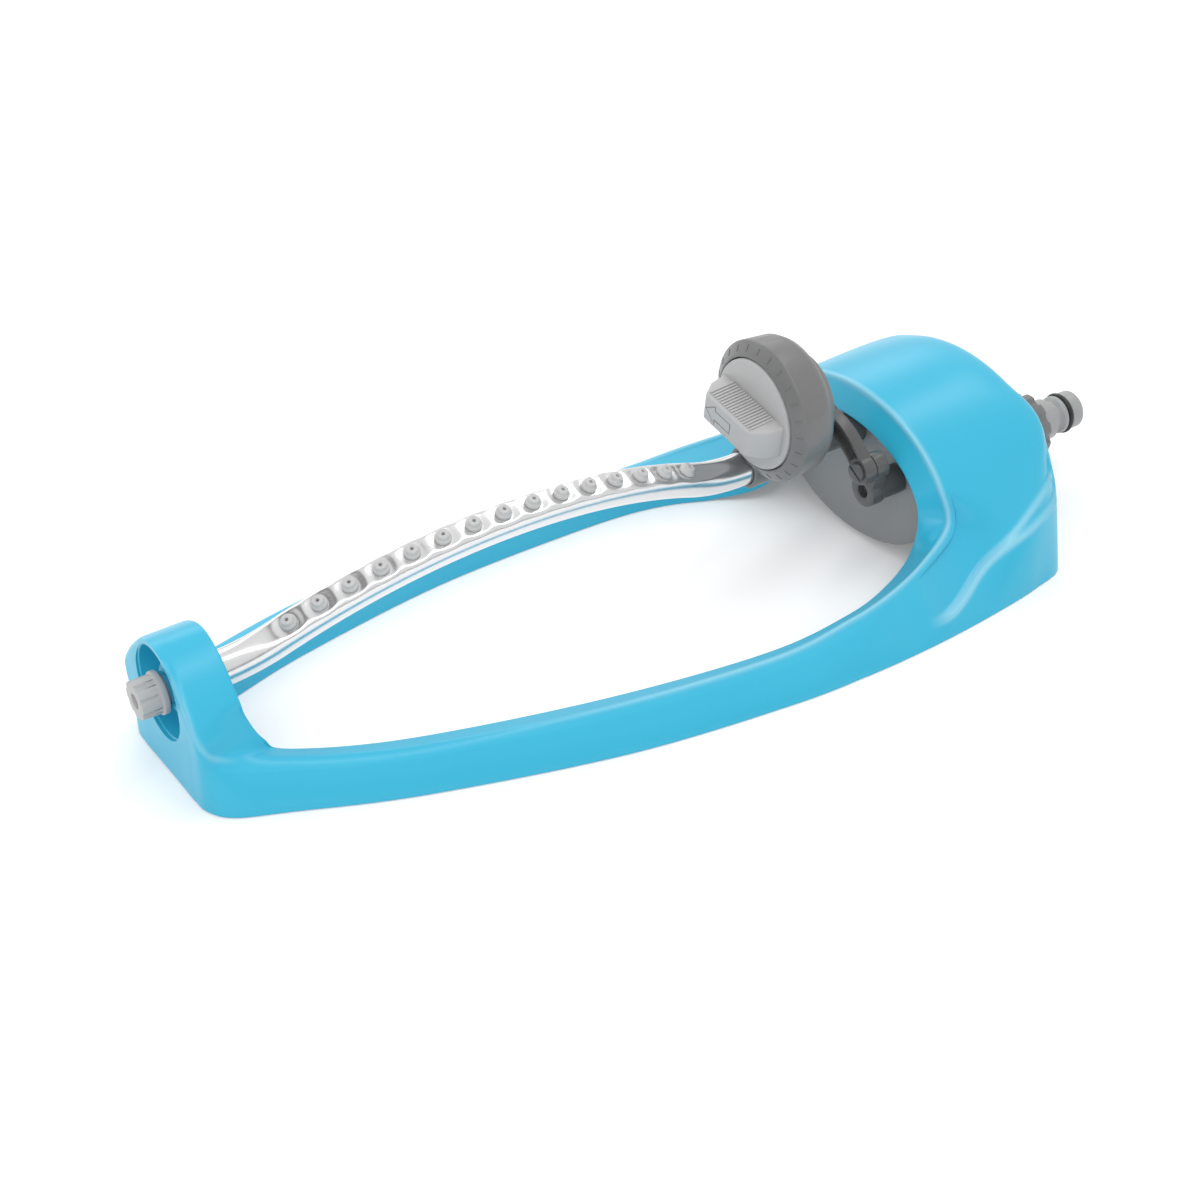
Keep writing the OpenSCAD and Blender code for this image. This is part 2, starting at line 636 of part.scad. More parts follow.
// Crank on the output shaft
crank_boss_r = 6.6;
crank_pad_r = 5.2;
shaft_front = crank_s + 4;
module crank_outline() {
    circle(crank_boss_r);
    translate([crank_r, 0]) circle(crank_pad_r);
    translate([0, -4.6]) square([crank_r, 9.2]);
}
module output_crank() color(dark_grey) drive() difference() {
    union() {
        across(crank_s, crank_axis) rotate([0, 0, crank_turn]) linear_extrude(crank_t) crank_outline();
        rod(hub_s - 1, hub_s + hub_len, shaft_r + 2.8, crank_axis);
    }
    rod(crank_s - 1, crank_s + 3, shaft_r - 0.3, crank_axis);
    rod(shaft_front - seat_gap, hub_s + hub_len + 1, shaft_r + seat_gap, crank_axis);
    rod(crank_s - 1, crank_s + crank_t - 0.6 + seat_gap, screw_r + seat_gap, crank_pin);
}
shaft_end = output_gear_s + gear_w + 1.5;
seal_out_r = shaft_r + 1.9;
module output_shaft() color(steel) drive() rod(shaft_front, shaft_end, shaft_r, crank_axis);
module shaft_seal() color(black_rubber) drive() pipe(plate_back + 2, plate_back + 3.8, seal_out_r, shaft_r + run_gap, crank_axis);

// Gears with straight flanks at a 25 degree pressure angle
backlash = 0.1;
function tooth_half(n) = (gear_m * PI / 2 - backlash) / (gear_m * n) * 180 / PI;
function flank_turn(n) = tan(25) * 2 / n * 180 / PI;
function polar(r, a) = [r * cos(a), r * sin(a)];
module gear_outline(n, turn) {
    half = tooth_half(n);
    pitch_r = gear_m * n / 2;
    polygon([for (i = [0:n - 1]) let (a = turn + i * 360 / n) each [
        polar(pitch_r - 1.2 * gear_m, a - half - 0.9 * flank_turn(n)), polar(pitch_r, a - half),
        polar(pitch_r + 0.95 * gear_m, a - half + 0.95 * flank_turn(n)),
        polar(pitch_r + 0.95 * gear_m, a + half - 0.95 * flank_turn(n)),
        polar(pitch_r, a + half), polar(pitch_r - 1.2 * gear_m, a + half + 0.9 * flank_turn(n))]]);
}
module gear(s, w, n, turn, at) { across(s, at) linear_extrude(w) gear_outline(n, turn); }
pinion_w = gear_w + 0.6;
module output_gear() color(white_plastic) drive() difference() {
    union() {
        gear(output_gear_s, gear_w, wheel_teeth, compound_dir, crank_axis);
        rod(output_gear_s, shaft_end - 0.2, shaft_r + 2, crank_axis);
    }
    rod(output_gear_s - 1, shaft_end + 1, shaft_r + seat_gap, crank_axis);
}
module compound_gear() color(white_plastic) drive() difference() {
    union() {
        gear(output_gear_s - 0.3, compound_gear_s - output_gear_s + 1, pinion_teeth,
            compound_dir + 180 / pinion_teeth, compound_axis);
        gear(compound_gear_s, gear_w, wheel_teeth, turbine_dir, compound_axis);
    }
    rod(output_gear_s - 2, compound_gear_s + gear_w + 1, axle_r + run_gap, compound_axis);
}
module gear_axle() color(steel) drive() rod(plate_back + 0.4, inner_s + inner_t, axle_r, compound_axis);
module turbine_wheel() color(white_plastic) drive() difference() {
    translate([0, turbine_axis[0], turbine_axis[1]]) {
        rod(turbine_s, turbine_s + turbine_w, axle_r + 2.2);
        rod(turbine_s, turbine_s + 1.4, turbine_r - 3);
        for (i = [0:blades - 1]) rotate([i * 360 / blades, 0, 0])
            translate([turbine_s, -0.7, axle_r + 1.6]) cube([turbine_w, 1.4, turbine_r - axle_r - 1.6]);
    }
    rod(turbine_s - 1, turbine_s + turbine_w + 1, axle_r + seat_gap, turbine_axis);
}
module turbine_shaft() color(steel) drive() {
    rod(plate_back + 0.4, case_back - 1.2, axle_r, turbine_axis);
    gear(compound_gear_s - 0.3, pinion_w, pinion_teeth, turbine_dir + 180 / pinion_teeth, turbine_axis);
}

// Motor housing: front plate, inner plate and case with the inlet neck
function oval(a, b) = [for (k = [0:71]) [a * cos(5 * k), b * sin(5 * k)]];
module oval_slab(s0, s1, inset) {
    across(s0, plate_axis) linear_extrude(s1 - s0) polygon(oval(plate_a - inset, plate_b - inset));
}
case_inset = 0.8;
boss_r = 3.2;
outlet_boss_r = journal_r + 0.8;
gear_tip_r = gear_m * (wheel_teeth / 2 + 1);
module motor_front_plate() color(dark_grey) drive() difference() {
    union() {
        oval_slab(plate_s, plate_back, 0);
        rod(plate_back - 1, journal_end + 1, outlet_boss_r);
        rod(plate_back - 1, output_gear_s - move_gap, shaft_r + 4, crank_axis);
        rod(plate_back - 1, output_gear_s - 0.8, boss_r, compound_axis);
        rod(plate_back - 1, output_gear_s + 3, boss_r, turbine_axis);
    }
    rod(plate_s - 1, journal_end + 2, journal_r + run_gap);
    rod(plate_s - 1, output_gear_s + 1, shaft_r + run_gap, crank_axis);
    rod(plate_back + 2 - seat_gap, output_gear_s + 1, seal_out_r + seat_gap, crank_axis);
    rod(plate_back + 0.25, output_gear_s + 1, axle_r + seat_gap, compound_axis);
    rod(plate_back + 0.25, output_gear_s + 4, axle_r + run_gap, turbine_axis);
}
module inner_plate() color(dark_grey) drive() difference() {
    oval_slab(inner_s, inner_s + inner_t, case_inset + case_wall + seat_gap);
    rod(inner_s - 1, inner_s + inner_t + 1, axle_r + seat_gap, compound_axis);
    rod(inner_s - 1, inner_s + inner_t + 1, axle_r + run_gap, turbine_axis);
    rod(inner_s - 1, inner_s + inner_t + 1, 4, [22, -24]);
}
module motor_case() color(dark_grey) drive() difference() {
    union() {
        oval_slab(plate_back + seat_gap, case_back, case_inset);
        rod(case_back - 1, neck_end, neck_r, inlet_axis);
    }
    oval_slab(plate_back - 1, inner_s + inner_t + seat_gap, case_inset + case_wall);
    difference() {
        oval_slab(inner_s + inner_t - 1, case_back - case_wall, case_inset + case_wall + case_step);
        rod(turbine_s + turbine_w + move_gap, case_back, boss_r, turbine_axis);
    }
    rod(plate_back - 1, journal_end + 1 + seat_gap, outlet_boss_r + seat_gap);
    rod(output_gear_s - move_gap, output_gear_s + gear_w + move_gap, gear_tip_r + move_gap, crank_axis);
    rod(turbine_s, case_back - 1, axle_r + run_gap, turbine_axis);
    rod(case_back - 5, neck_end + 1, neck_r - 3, inlet_axis);
}

// Inlet: filter cup, washer, coupling nut, nipple and its O-ring
filter_r = neck_r - 3 - seat_gap;
module inlet_filter() color(white_plastic) drive() difference() {
    rod(neck_end - 14, neck_end - 0.3, filter_r, inlet_axis);
    rod(neck_end - 12.6, neck_end + 1, filter_r - 1.2, inlet_axis);
    for (turn = [0:60:300]) translate([neck_end - 11, inlet_axis[0], inlet_axis[1]]) rotate([turn, 0, 0])
        translate([0, -1.2, 2]) cube([8, 2.4, filter_r]);
}
washer_s = neck_end + seat_gap;
module inlet_washer() color(black_rubber) drive() pipe(washer_s, washer_s + washer_t, neck_r - 0.6, 5.4, inlet_axis);
shoulder_r = spigot_r + 0.7;
nut_end = nut_s + nut_len;
nut_wall_s = nipple_s + nipple_flange_t + move_gap;
module inlet_nut() color(dark_grey) drive() difference() {
    across(nut_s, inlet_axis) linear_extrude(nut_len) difference() {
        circle(nut_r);
        for (i = [0:nut_lobes - 1]) rotate([0, 0, i * 360 / nut_lobes]) translate([nut_r + 1.3, 0]) circle(2.6);
    }
    rod(nut_s - 1, nut_wall_s, neck_r + 0.3, inlet_axis);
    rod(nut_s, nut_end + 1, shoulder_r + 0.3, inlet_axis);
}
shoulder_end = nut_end + 8.5;
waist_s = shoulder_end;
waist_len = 5;
cord_r = 1.15;
groove_s = spigot_tip - 8;
groove_r = spigot_r - 1.6;
spigot_bore = 5;
module inlet_nipple() color(light_grey) drive() across(0, inlet_axis) rotate_extrude() polygon([
    [spigot_bore, nipple_s], [neck_r - 0.3, nipple_s], [neck_r - 0.3, nipple_s + nipple_flange_t],
    [shoulder_r, nipple_s + nipple_flange_t], [shoulder_r, shoulder_end], [spigot_r - 1.6, waist_s + 1.5], [spigot_r - 1.6, waist_s + waist_len - 1.5],
    [spigot_r, waist_s + waist_len], [spigot_r, groove_s - 1.3], [groove_r, groove_s - 1.3],
    [groove_r, groove_s + 1.3], [spigot_r, groove_s + 1.3], [spigot_r, spigot_tip - 1.5],
    [spigot_r - 1.5, spigot_tip], [spigot_bore, spigot_tip]]);
module nipple_o_ring() color(black_rubber) drive() o_ring(groove_s, groove_r, cord_r, inlet_axis);

base_shell();
end_bush();
end_plug();
plug_o_ring();
spray_tube();
spray_nozzles();
tube_connector();
outlet_seal();
dial_grip();
dial_eccentric();
dial_screw();
link_arm();
link_screw();
output_crank();
output_shaft();
shaft_seal();
output_gear();
compound_gear();
gear_axle();
turbine_wheel();
turbine_shaft();
motor_front_plate();
inner_plate();
motor_case();
inlet_filter();
inlet_washer();
inlet_nut();
inlet_nipple();
nipple_o_ring();
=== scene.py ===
import json
import math
import bmesh
import bpy
import numpy as np
from mathutils import Matrix, Vector


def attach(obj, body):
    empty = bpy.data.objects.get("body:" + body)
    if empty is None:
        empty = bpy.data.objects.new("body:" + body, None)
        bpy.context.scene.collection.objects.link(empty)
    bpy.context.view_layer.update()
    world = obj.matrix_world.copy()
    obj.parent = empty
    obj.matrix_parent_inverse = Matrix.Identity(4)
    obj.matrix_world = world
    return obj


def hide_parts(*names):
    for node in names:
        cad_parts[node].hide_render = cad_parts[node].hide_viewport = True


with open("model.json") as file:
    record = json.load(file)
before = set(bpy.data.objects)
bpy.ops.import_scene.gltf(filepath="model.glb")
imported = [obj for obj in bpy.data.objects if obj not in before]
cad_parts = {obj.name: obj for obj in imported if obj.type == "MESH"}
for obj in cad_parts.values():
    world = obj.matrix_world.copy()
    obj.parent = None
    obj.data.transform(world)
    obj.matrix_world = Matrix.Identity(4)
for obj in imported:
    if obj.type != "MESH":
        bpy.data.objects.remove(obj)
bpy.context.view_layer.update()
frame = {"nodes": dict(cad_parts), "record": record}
scene = bpy.context.scene

# Studio
# A white paper floor under a long strip box overhead, with weaker boxes beyond the object and at
# the front left, in an even surround. Flags beside the table give the polished tube its streaks.
scene.view_settings.view_transform = "Standard"


def linear(hex_colour):
    """Linear RGBA of an sRGB hex colour."""
    parts = [int(hex_colour[i:i + 2], 16) / 255 for i in (1, 3, 5)]
    return [c / 12.92 if c <= 0.04045 else ((c + 0.055) / 1.055) ** 2.4 for c in parts] + [1.0]


def add_node(tree, kind, settings=None, inputs=None):
    """Adds a node; an input is a value, or an output socket to link from."""
    made = tree.nodes.new(kind)
    for key, value in (settings or {}).items():
        setattr(made, key, value)
    for key, value in (inputs or {}).items():
        if isinstance(value, bpy.types.NodeSocket):
            tree.links.new(value, made.inputs[key])
        else:
            made.inputs[key].default_value = value
    return made


def empty_material(name):
    """A material with an empty node tree, and that tree."""
    finish = bpy.data.materials.new(name)
    finish.use_nodes = True
    finish.node_tree.nodes.clear()
    return finish, finish.node_tree


def seen_directly(tree):
    """1 on camera, glossy and transmission rays."""
    path = add_node(tree, "ShaderNodeLightPath")
    some = add_node(tree, "ShaderNodeMath", {"operation": "MAXIMUM"},
                    {0: path.outputs["Is Camera Ray"], 1: path.outputs["Is Glossy Ray"]})
    return add_node(tree, "ShaderNodeMath", {"operation": "MAXIMUM"},
                    {0: some.outputs[0], 1: path.outputs["Is Transmission Ray"]}).outputs[0]


def piece_from(name, points, faces):
    """A new mesh object at the origin."""
    mesh = bpy.data.meshes.new(name)
    mesh.from_pydata([tuple(p) for p in points], [], [tuple(f) for f in faces])
    made = bpy.data.objects.new(name, mesh)
    scene.collection.objects.link(made)
    return made


floor_reach, floor_drop = 8.0, 0.0004
floor_lift, far_lift, lift_start, lift_end = 0.2, 0.6, 0.9, 2.5
floor = piece_from("studio_floor", [(x, y, -floor_drop) for x, y in
                   ((-floor_reach, -floor_reach), (floor_reach, -floor_reach),
                    (floor_reach, floor_reach), (-floor_reach, floor_reach))], [(0, 1, 2, 3)])

# Matt white paper: no sheen at all, and lifted towards white where it is seen directly, so the
# floor fades into the surround.
paper, tree = empty_material("matt_white_paper")
sheet = add_node(tree, "ShaderNodeBsdfDiffuse", None, {"Color": linear("#F2F2F2")})
reach = add_node(tree, "ShaderNodeVectorMath", {"operation": "LENGTH"},
                 {0: add_node(tree, "ShaderNodeTexCoord").outputs["Object"]})
lift = add_node(tree, "ShaderNodeMapRange", {"interpolation_type": "SMOOTHSTEP"},
                {"Value": reach.outputs["Value"], "From Min": lift_start, "From Max": lift_end,
                 "To Min": floor_lift, "To Max": far_lift})
glow = add_node(tree, "ShaderNodeMath", {"operation": "MULTIPLY"},
                {0: seen_directly(tree), 1: lift.outputs[0]})
lifted = add_node(tree, "ShaderNodeEmission", None,
                  {"Color": (1, 1, 1, 1), "Strength": glow.outputs[0]})
both = add_node(tree, "ShaderNodeAddShader", None, {0: sheet.outputs[0], 1: lifted.outputs[0]})
add_node(tree, "ShaderNodeOutputMaterial", None, {"Surface": both.outputs[0]})
floor.data.materials.append(paper)

surround_level, mirrored_level = 0.76, 0.85
world = bpy.data.worlds.new("pale_surround")
scene.world = world
world.use_nodes = True
tree = world.node_tree
tree.nodes.clear()
path = add_node(tree, "ShaderNodeLightPath").outputs
shown = add_node(tree, "ShaderNodeMath", {"operation": "MAXIMUM"},
                 {0: path["Is Camera Ray"], 1: path["Is Transmission Ray"]})
mirrored = add_node(tree, "ShaderNodeMath", {"operation": "MULTIPLY_ADD"},
                    {0: path["Is Glossy Ray"], 1: mirrored_level - surround_level,
                     2: surround_level})
level = add_node(tree, "ShaderNodeMath", {"operation": "MAXIMUM"},
                 {0: shown.outputs[0], 1: mirrored.outputs[0]})
sky = add_node(tree, "ShaderNodeBackground", None,
               {"Color": (1, 1, 1, 1), "Strength": level.outputs[0]})
add_node(tree, "ShaderNodeOutputWorld", None, {"Surface": sky.outputs[0]})

for name, place, aim, size, depth, power in (
        ("overhead_strip_box", (0.2, -0.3, 2.2), (0.02, 0, 0.03), 3.8, 0.36, 15.0),
        ("far_strip_box", (0.1, 1.7, 1.35), (0.02, 0, 0.03), 3.0, 0.8, 11.0),
        ("front_left_soft_box", (-1.8, -1.6, 1.8), (0.0, 0, 0.03), 1.4, 1.4, 12.0)):
    lamp = bpy.data.lights.new(name, "AREA")
    lamp.shape, lamp.size, lamp.size_y, lamp.energy = "RECTANGLE", size, depth, power
    box = bpy.data.objects.new(name, lamp)
    scene.collection.objects.link(box)
    box.location = place
    box.rotation_euler = (Vector(aim) - Vector(place)).to_track_quat("-Z", "Y").to_euler()

# Flags that only reflections see: a long dark one low on the near side, and grey ones past the
# ring and above it.
for name, grey, corners in (
        ("low_dark_flag", "#1A1A1A",
         ((-0.9, -0.75, 0.0), (0.9, -0.75, 0.0), (0.9, -0.75, 0.1), (-0.9, -0.75, 0.1))),
        ("end_grey_flag", "#5A5A5A",
         ((-0.8, -0.45, 0.0), (-0.8, 0.6, 0.0), (-0.8, 0.6, 0.45), (-0.8, -0.45, 0.45))),
        ("high_grey_flag", "#808080",
         ((-1.9, -0.05, 2.0), (-0.8, -0.05, 2.0), (-0.8, 1.1, 2.0), (-1.9, 1.1, 2.0)))):
    flag = piece_from(name, corners, [(0, 1, 2, 3)])
    cloth, tree = empty_material(name + "_cloth")
    add_node(tree, "ShaderNodeOutputMaterial", None, {"Surface": add_node(
        tree, "ShaderNodeEmission", None, {"Color": linear(grey), "Strength": 1.0}).outputs[0]})
    flag.data.materials.append(cloth)
    flag.visible_camera = flag.visible_diffuse = False
    flag.visible_shadow = flag.visible_transmission = False

# Camera
# The photograph's own station, solved from the frame's flat base: just above the ring end,
# looking down along the near rail.
lens_mm, sensor_mm = 64.24, 36.0
look_down, look_across = 31.0008, 33.338
lens = bpy.data.cameras.new("product_camera")
lens.lens, lens.sensor_width, lens.sensor_fit = lens_mm, sensor_mm, "HORIZONTAL"
lens.clip_start, lens.clip_end = 0.01, 30
camera = bpy.data.objects.new("product_camera", lens)
scene.collection.objects.link(camera)
camera.location = (-0.406955, -0.575893, 0.423897)
camera.rotation_euler = (math.radians(90 - look_down), 0, math.radians(-look_across))
scene.camera = camera

# Frame loop
# One injection moulding in sky-blue polypropylene: a ring at the front, two rails and a hood
# over the motor. It is an open shell underneath, with a bearing eye on webs in the ring.
axis_height, axis_tilt, length_middle = 31.7, 3.57, 205.976
drive = (Matrix.Scale(0.001, 4) @ Matrix.Translation((-length_middle, 0, axis_height))
         @ Matrix.Rotation(math.radians(-axis_tilt), 4, "Y"))
body_length, body_half_width, widest_at, front_half_width = 356.0, 85.0, 222.0, 31.0
rail_width, rail_height, crest_inset, top_fall, strip_inset = 21.0, 14.5, 8.0, 3.0, 2.0
crest_radius, edge_radius, wall = 3.5, 1.2, 2.6
ring_length, ring_radius, tunnel_radius = 20.5, 18.9, 16.7
foot_back, ring_front, ring_splay = 3.0, 1.5, 2.0
mouth_front, mouth_depth, mouth_lip, mouth_room = 293.0, 8.5, 1.0, 0.3
plate_half_width, plate_half_height, plate_drop = 44.6, 27.5, 20.5
rim_height, rim_half_width, rim_side_height, rim_back, rim_lean = 69.2, 55.0, 28.8, 2.7, 5.0
rear_height, rear_half_width, rear_side_height, rear_sharp, rear_out = 75.7, 64.3, 12.0, 5.0, 1
soft_flank, ring_thin, corner_thin, hood_thin = 0.5, 0.7, 0.45, 0.4
stations_per_key, stations_by_hood, hood_spans = 9, 24, range(9, 14)
flank_steps, crest_steps, edge_steps, foot_crowding = 64, 14, 4, 1.3
most_of_edge, most_of_flank = 0.45, 0.35
lining_share = 0.5
outline_radius = ((widest_at ** 2 + (body_half_width - front_half_width) ** 2)
                  / (2 * (body_half_width - front_half_width)))


def blend_to(a, b, t):
    """The point a share t of the way from a to b."""
    return a + (b - a) * t


def half_width(x):
    """Half the frame's width at x, on one long arc."""
    return body_half_width - outline_radius + math.sqrt(outline_radius ** 2 - (x - widest_at) ** 2)


def on_drive(s, y, h):
    """A point s along the tilted drive axis, y across it and h over it."""
    t = math.radians(axis_tilt)
    return [s * math.cos(t) - h * math.sin(t), y, axis_height + s * math.sin(t) + h * math.cos(t)]


def soft_key(foot, crest, edge, inner, thin=1.0):
    """A key section: outer foot, crest, inner edge, inner foot, flank corner, then its weights."""
    lean_along, lean_in, lean_up = 0.15, 0.3, 0.85
    corner = [blend_to(foot[0], crest[0], lean_along), blend_to(foot[1], crest[1], lean_in),
              lean_up * crest[2]]
    return [foot, crest, edge, inner, corner, [soft_flank, thin, 0]]


def ring_key(turn, foot_y, spread):
    """A key of the ring, turned from its top."""
    y = -ring_radius * math.sin(math.radians(turn)) - spread
    z = axis_height + ring_radius * math.cos(math.radians(turn))
    rise = ring_length * math.tan(math.radians(axis_tilt))
    return soft_key([foot_back, -foot_y, 0], [ring_front, y, z], [ring_length, y, z + rise],
                    [ring_length + ring_splay, -foot_y, 0], ring_thin)


def rail_key(x, lift, inset, skew):
    """A key of a rail, with its crest lifted and set in, and its inner side skewed back."""
    height, inside = rail_height + lift, rail_width - half_width(x + skew)
    crest = [x + skew / 2, crest_inset + inset - half_width(x + skew / 2), height]
    return soft_key([x, -half_width(x), 0], crest,
                    [x + skew, inside - strip_inset, height - top_fall], [x + skew, inside, 0])


def mouth(s, turn):
    """A point on the hood's oval mouth, turned from its top."""
    t = math.radians(turn)
    return on_drive(s, -(plate_half_width + mouth_room) * math.sin(t),
                    -plate_drop + (plate_half_height + mouth_room) * math.cos(t))


def rear(turn):
    """A point on the arch over the hood's back."""
    t = math.radians(turn)
    return [body_length + rear_out, -rear_half_width * math.sin(t),
            rear_side_height + (rear_height - rear_side_height) * math.cos(t)]


def hood_key(foot, turn, corner, sharp):
    """A key of the hood, from its foot over a corner to the rim and into the mouth."""
    t = math.radians(turn)
    rim = [mouth_front + rim_back + rim_lean * (1 - math.cos(t)), -rim_half_width * math.sin(t),
           rim_side_height + (rim_height - rim_side_height) * math.cos(t)]
    return [foot, rim, mouth(mouth_front - mouth_lip, turn),
            mouth(mouth_front + mouth_depth + mouth_lip, turn), corner, [sharp, hood_thin, 0]]


def foot_at(x):
    """The outer foot of the frame at x."""
    return [x, -half_width(x), 0]


def skirt(x, inset, z):
    """A flank corner over the foot at x."""
    return [x, -half_width(x) + inset, z]


near_keys = np.array([
    ring_key(0, 0, 0), ring_key(40, 11, 1), ring_key(75, 21, 6),
    soft_key([4, -29, 0], [2.5, -30.5, 27], [22.3, -25.5, 29.5], [24, -24, 0], corner_thin),
    soft_key([10, -36.7, 0], [10, -30, 19.5], [26.8, -27.5, 20.5], [28.3, -25.5, 0], corner_thin),
    rail_key(27, 2, 0, 8.5), rail_key(70, 0, 0, 3), rail_key(140, 0.5, 1, 0),
    rail_key(205, 0, 2.4, 1), rail_key(240, 3.3, 4.5, 3),
    [foot_at(262), [262, -69.5, 20.8], [267, -58.5, 15.8], [268, -56, 0], skirt(262, 3, 7),
     [0.75, 0.5, 0]],
    [foot_at(282), [282, -63.5, 25], [287.5, -48, 18], [291, -43.5, 8], skirt(282, 3.5, 10),
     [1.3, 0.5, 0]],
    hood_key(foot_at(306), 88, skirt(306, 6, 14), 2),
    hood_key(foot_at(333), 66, skirt(333, 2, 28), 3),
    hood_key([body_length - 4, -64, 0], 44, [body_length + rear_out, -49, 57], rear_sharp),
    hood_key([body_length, -39.3, 0], 22, rear(22), rear_sharp),
    hood_key([body_length, 0, 0], 0, rear(0), rear_sharp)], float)
far_keys = near_keys[-2:0:-1].copy()
far_keys[:, :5, 1] *= -1
keys = np.concatenate([near_keys, far_keys])


def curve_point(a, b, c, d, t):
    """A smooth curve through b and c, with a and d as its neighbours."""
    return 0.5 * (2 * b + (c - a) * t + (2 * a - 5 * b + 4 * c - d) * t ** 2
                  + (3 * b - a - 3 * c + d) * t ** 3)


def bend(a, b, c, t):
    """A rounded corner at b."""
    return blend_to(blend_to(a, b, t), blend_to(b, c, t), t)


def toward(a, b, reach):
    """The point a reach in mm from a towards b, short of the middle."""
    return a + (b - a) * min(most_of_edge, reach / np.linalg.norm(b - a))


def section(key):
    """Points of a section from outer foot to inner foot, each with its share of the wall."""
    foot, crest, edge, inner, corner, (weight, thin, _) = key
    last = 1 - min(most_of_flank, crest_radius / (2 * weight * np.linalg.norm(crest - corner)))

    def flank(t):
        u = 1 - t
        return ((foot * u * u + corner * 2 * weight * u * t + crest * t * t)
                / (u * u + 2 * weight * u * t + t * t))

    top = toward(crest, edge, crest_radius)
    edge_a, edge_b = toward(edge, crest, edge_radius), toward(edge, inner, edge_radius)
    inner_foot = np.array([inner[0], inner[1], max(0, inner[2])])
    thin = thin * lining_share
    middle = (1 + thin) / 2
    rows = [(flank(last * (i / flank_steps) ** foot_crowding), 1) for i in range(flank_steps + 1)]
    rows += [(bend(flank(last), crest, top, i / crest_steps), 1 if i < crest_steps else middle)
             for i in range(1, crest_steps + 1)]
    rows += [(blend_to(top, edge_a, t), middle if t < 0.5 else thin) for t in (0.25, 0.5, 0.75, 1)]
    rows += [(bend(edge_a, edge, edge_b, i / edge_steps), thin) for i in range(1, edge_steps + 1)]
    rows += [(blend_to(edge_b, inner_foot, t), thin) for t in (0.2, 0.45, 0.7, 1)]
    return [p for p, _ in rows], [share for _, share in rows]


stations = []
for k in range(len(keys)):
    a, b, c, d = (keys[(k + i) % len(keys)] for i in (-1, 0, 1, 2))
    steps = stations_by_hood if min(k, len(keys) - 1 - k) in hood_spans else stations_per_key
    stations += [curve_point(a, b, c, d, i / steps) for i in range(steps)]
skin, share = map(np.array, zip(*[section(key) for key in stations]))
along = np.roll(skin, -1, 0) - np.roll(skin, 1, 0)
across = np.gradient(skin, axis=1)
normal = np.cross(along, across)
normal /= np.linalg.norm(normal, axis=2, keepdims=True)


def ease_in(t):
    """A smooth rise from 0 to 1."""
    t = np.clip(t, 0, 1)
    return t * t * (3 - 2 * t)


# Two low ledges run down each flank of the hood and meet on the rail, above a slightly fuller
# skirt. Their lips soften where the hood turns to its back.
ledge_start, ledge_run, ledge_foot, ledge_rise, ledge_depth = 279.0, 75.0, 6.5, 29.0, 2.8
ledge_round, back_round, flank_slope = 2.2, 18.0, 0.82
split_after, split_run, split_gap = 27.0, 45.0, 6.0
recess_full, recess_fade = 3.0, 26.0
lead_in, lead_run, back_clear, back_run = 8.0, 16.0, 34.0, 20.0
turn_start, turn_run = 0.35, 0.4
place, facing = skin[:, :flank_steps + 1], normal[:, :flank_steps + 1]
past_start = place[:, :, 0] - ledge_start
line = ledge_foot + ledge_rise * ease_in(past_start / ledge_run)
above = flank_slope * (place[:, :, 2] - line)
apart = split_gap * ease_in((past_start - split_after) / split_run)
level_turn = np.maximum(np.hypot(facing[:, :, 0], facing[:, :, 1]), 1e-6)
lip_share = ease_in((np.abs(facing[:, :, 1]) / level_turn - turn_start) / turn_run)
lip_round = ledge_round + back_round * (1 - lip_share)
step = 0.5 * ease_in(above / lip_round) + 0.5 * ease_in((above + apart) / lip_round)
step *= 1 - ease_in((above - recess_full) / recess_fade)
flank_only = (ease_in((past_start + lead_in) / lead_run)
              * ease_in((np.abs(place[:, :, 1]) - back_clear) / back_run))
step *= flank_only
place -= ledge_depth * step[:, :, None] * facing
lining = skin - wall * share[:, :, None] * normal
lining[:, :, 2] = np.where(skin[:, :, 2] < 0.01, 0, np.maximum(0, lining[:, :, 2]))

# A fine bead grows along the crest of the rails and runs round the rim of the hood. A painted
# highlight, a paler blue, lies along it and along the ledges' lips.
bead_height, bead_width, crest_row = 0.9, 1.3, flank_steps + 8
ring_share, ring_fade_at, ring_fade, rail_grow_at, rail_grow = 0.6, 6.0, 12.0, 60.0, 140.0
off_crest = np.linalg.norm(skin - skin[:, crest_row:crest_row + 1], axis=2)
strong = np.maximum(ring_share * (1 - ease_in((skin[:, :, 0] - ring_fade_at) / ring_fade)),
                    ease_in((skin[:, :, 0] - rail_grow_at) / rail_grow))
skin += bead_height * (strong * np.exp(-(off_crest / bead_width) ** 2))[:, :, None] * normal
# Painted highlight: a share that mixes the blue towards a pale blue on the bead and just off the
# ledges' lips, standing in for light caught on those edges.
painted_highlight_strength, painted_highlight_width, lip_offset = 0.4, 1.1, 0.4
arris = strong * np.exp(-(off_crest / painted_highlight_width) ** 2)
lips = (np.exp(-((above - lip_offset) / painted_highlight_width) ** 2)
        + np.exp(-((above + apart - lip_offset) / painted_highlight_width) ** 2))
arris[:, :flank_steps + 1] += np.minimum(lips, 1) * flank_only * lip_share
loops = np.concatenate([skin, lining[:, ::-1]], axis=1)
loops[:, :, 0] -= length_middle
count, size = loops.shape[:2]
faces = [(i * size + j, (i + 1) % count * size + j, (i + 1) % count * size + (j + 1) % size,
          i * size + (j + 1) % size) for i in range(count) for j in range(size)]
shell = piece_from("frame_loop", loops.reshape(-1, 3) / 1000, faces)
# The painted highlight share is stored on the frame, where the blue's material reads it to paint
# its edges paler.
arris = np.concatenate([arris, 0 * arris], axis=1).reshape(-1)
painted_highlight_layer = shell.data.attributes.new("arris", "FLOAT", "POINT")
painted_highlight_layer.data.foreach_set("value", painted_highlight_strength * np.minimum(arris, 1))


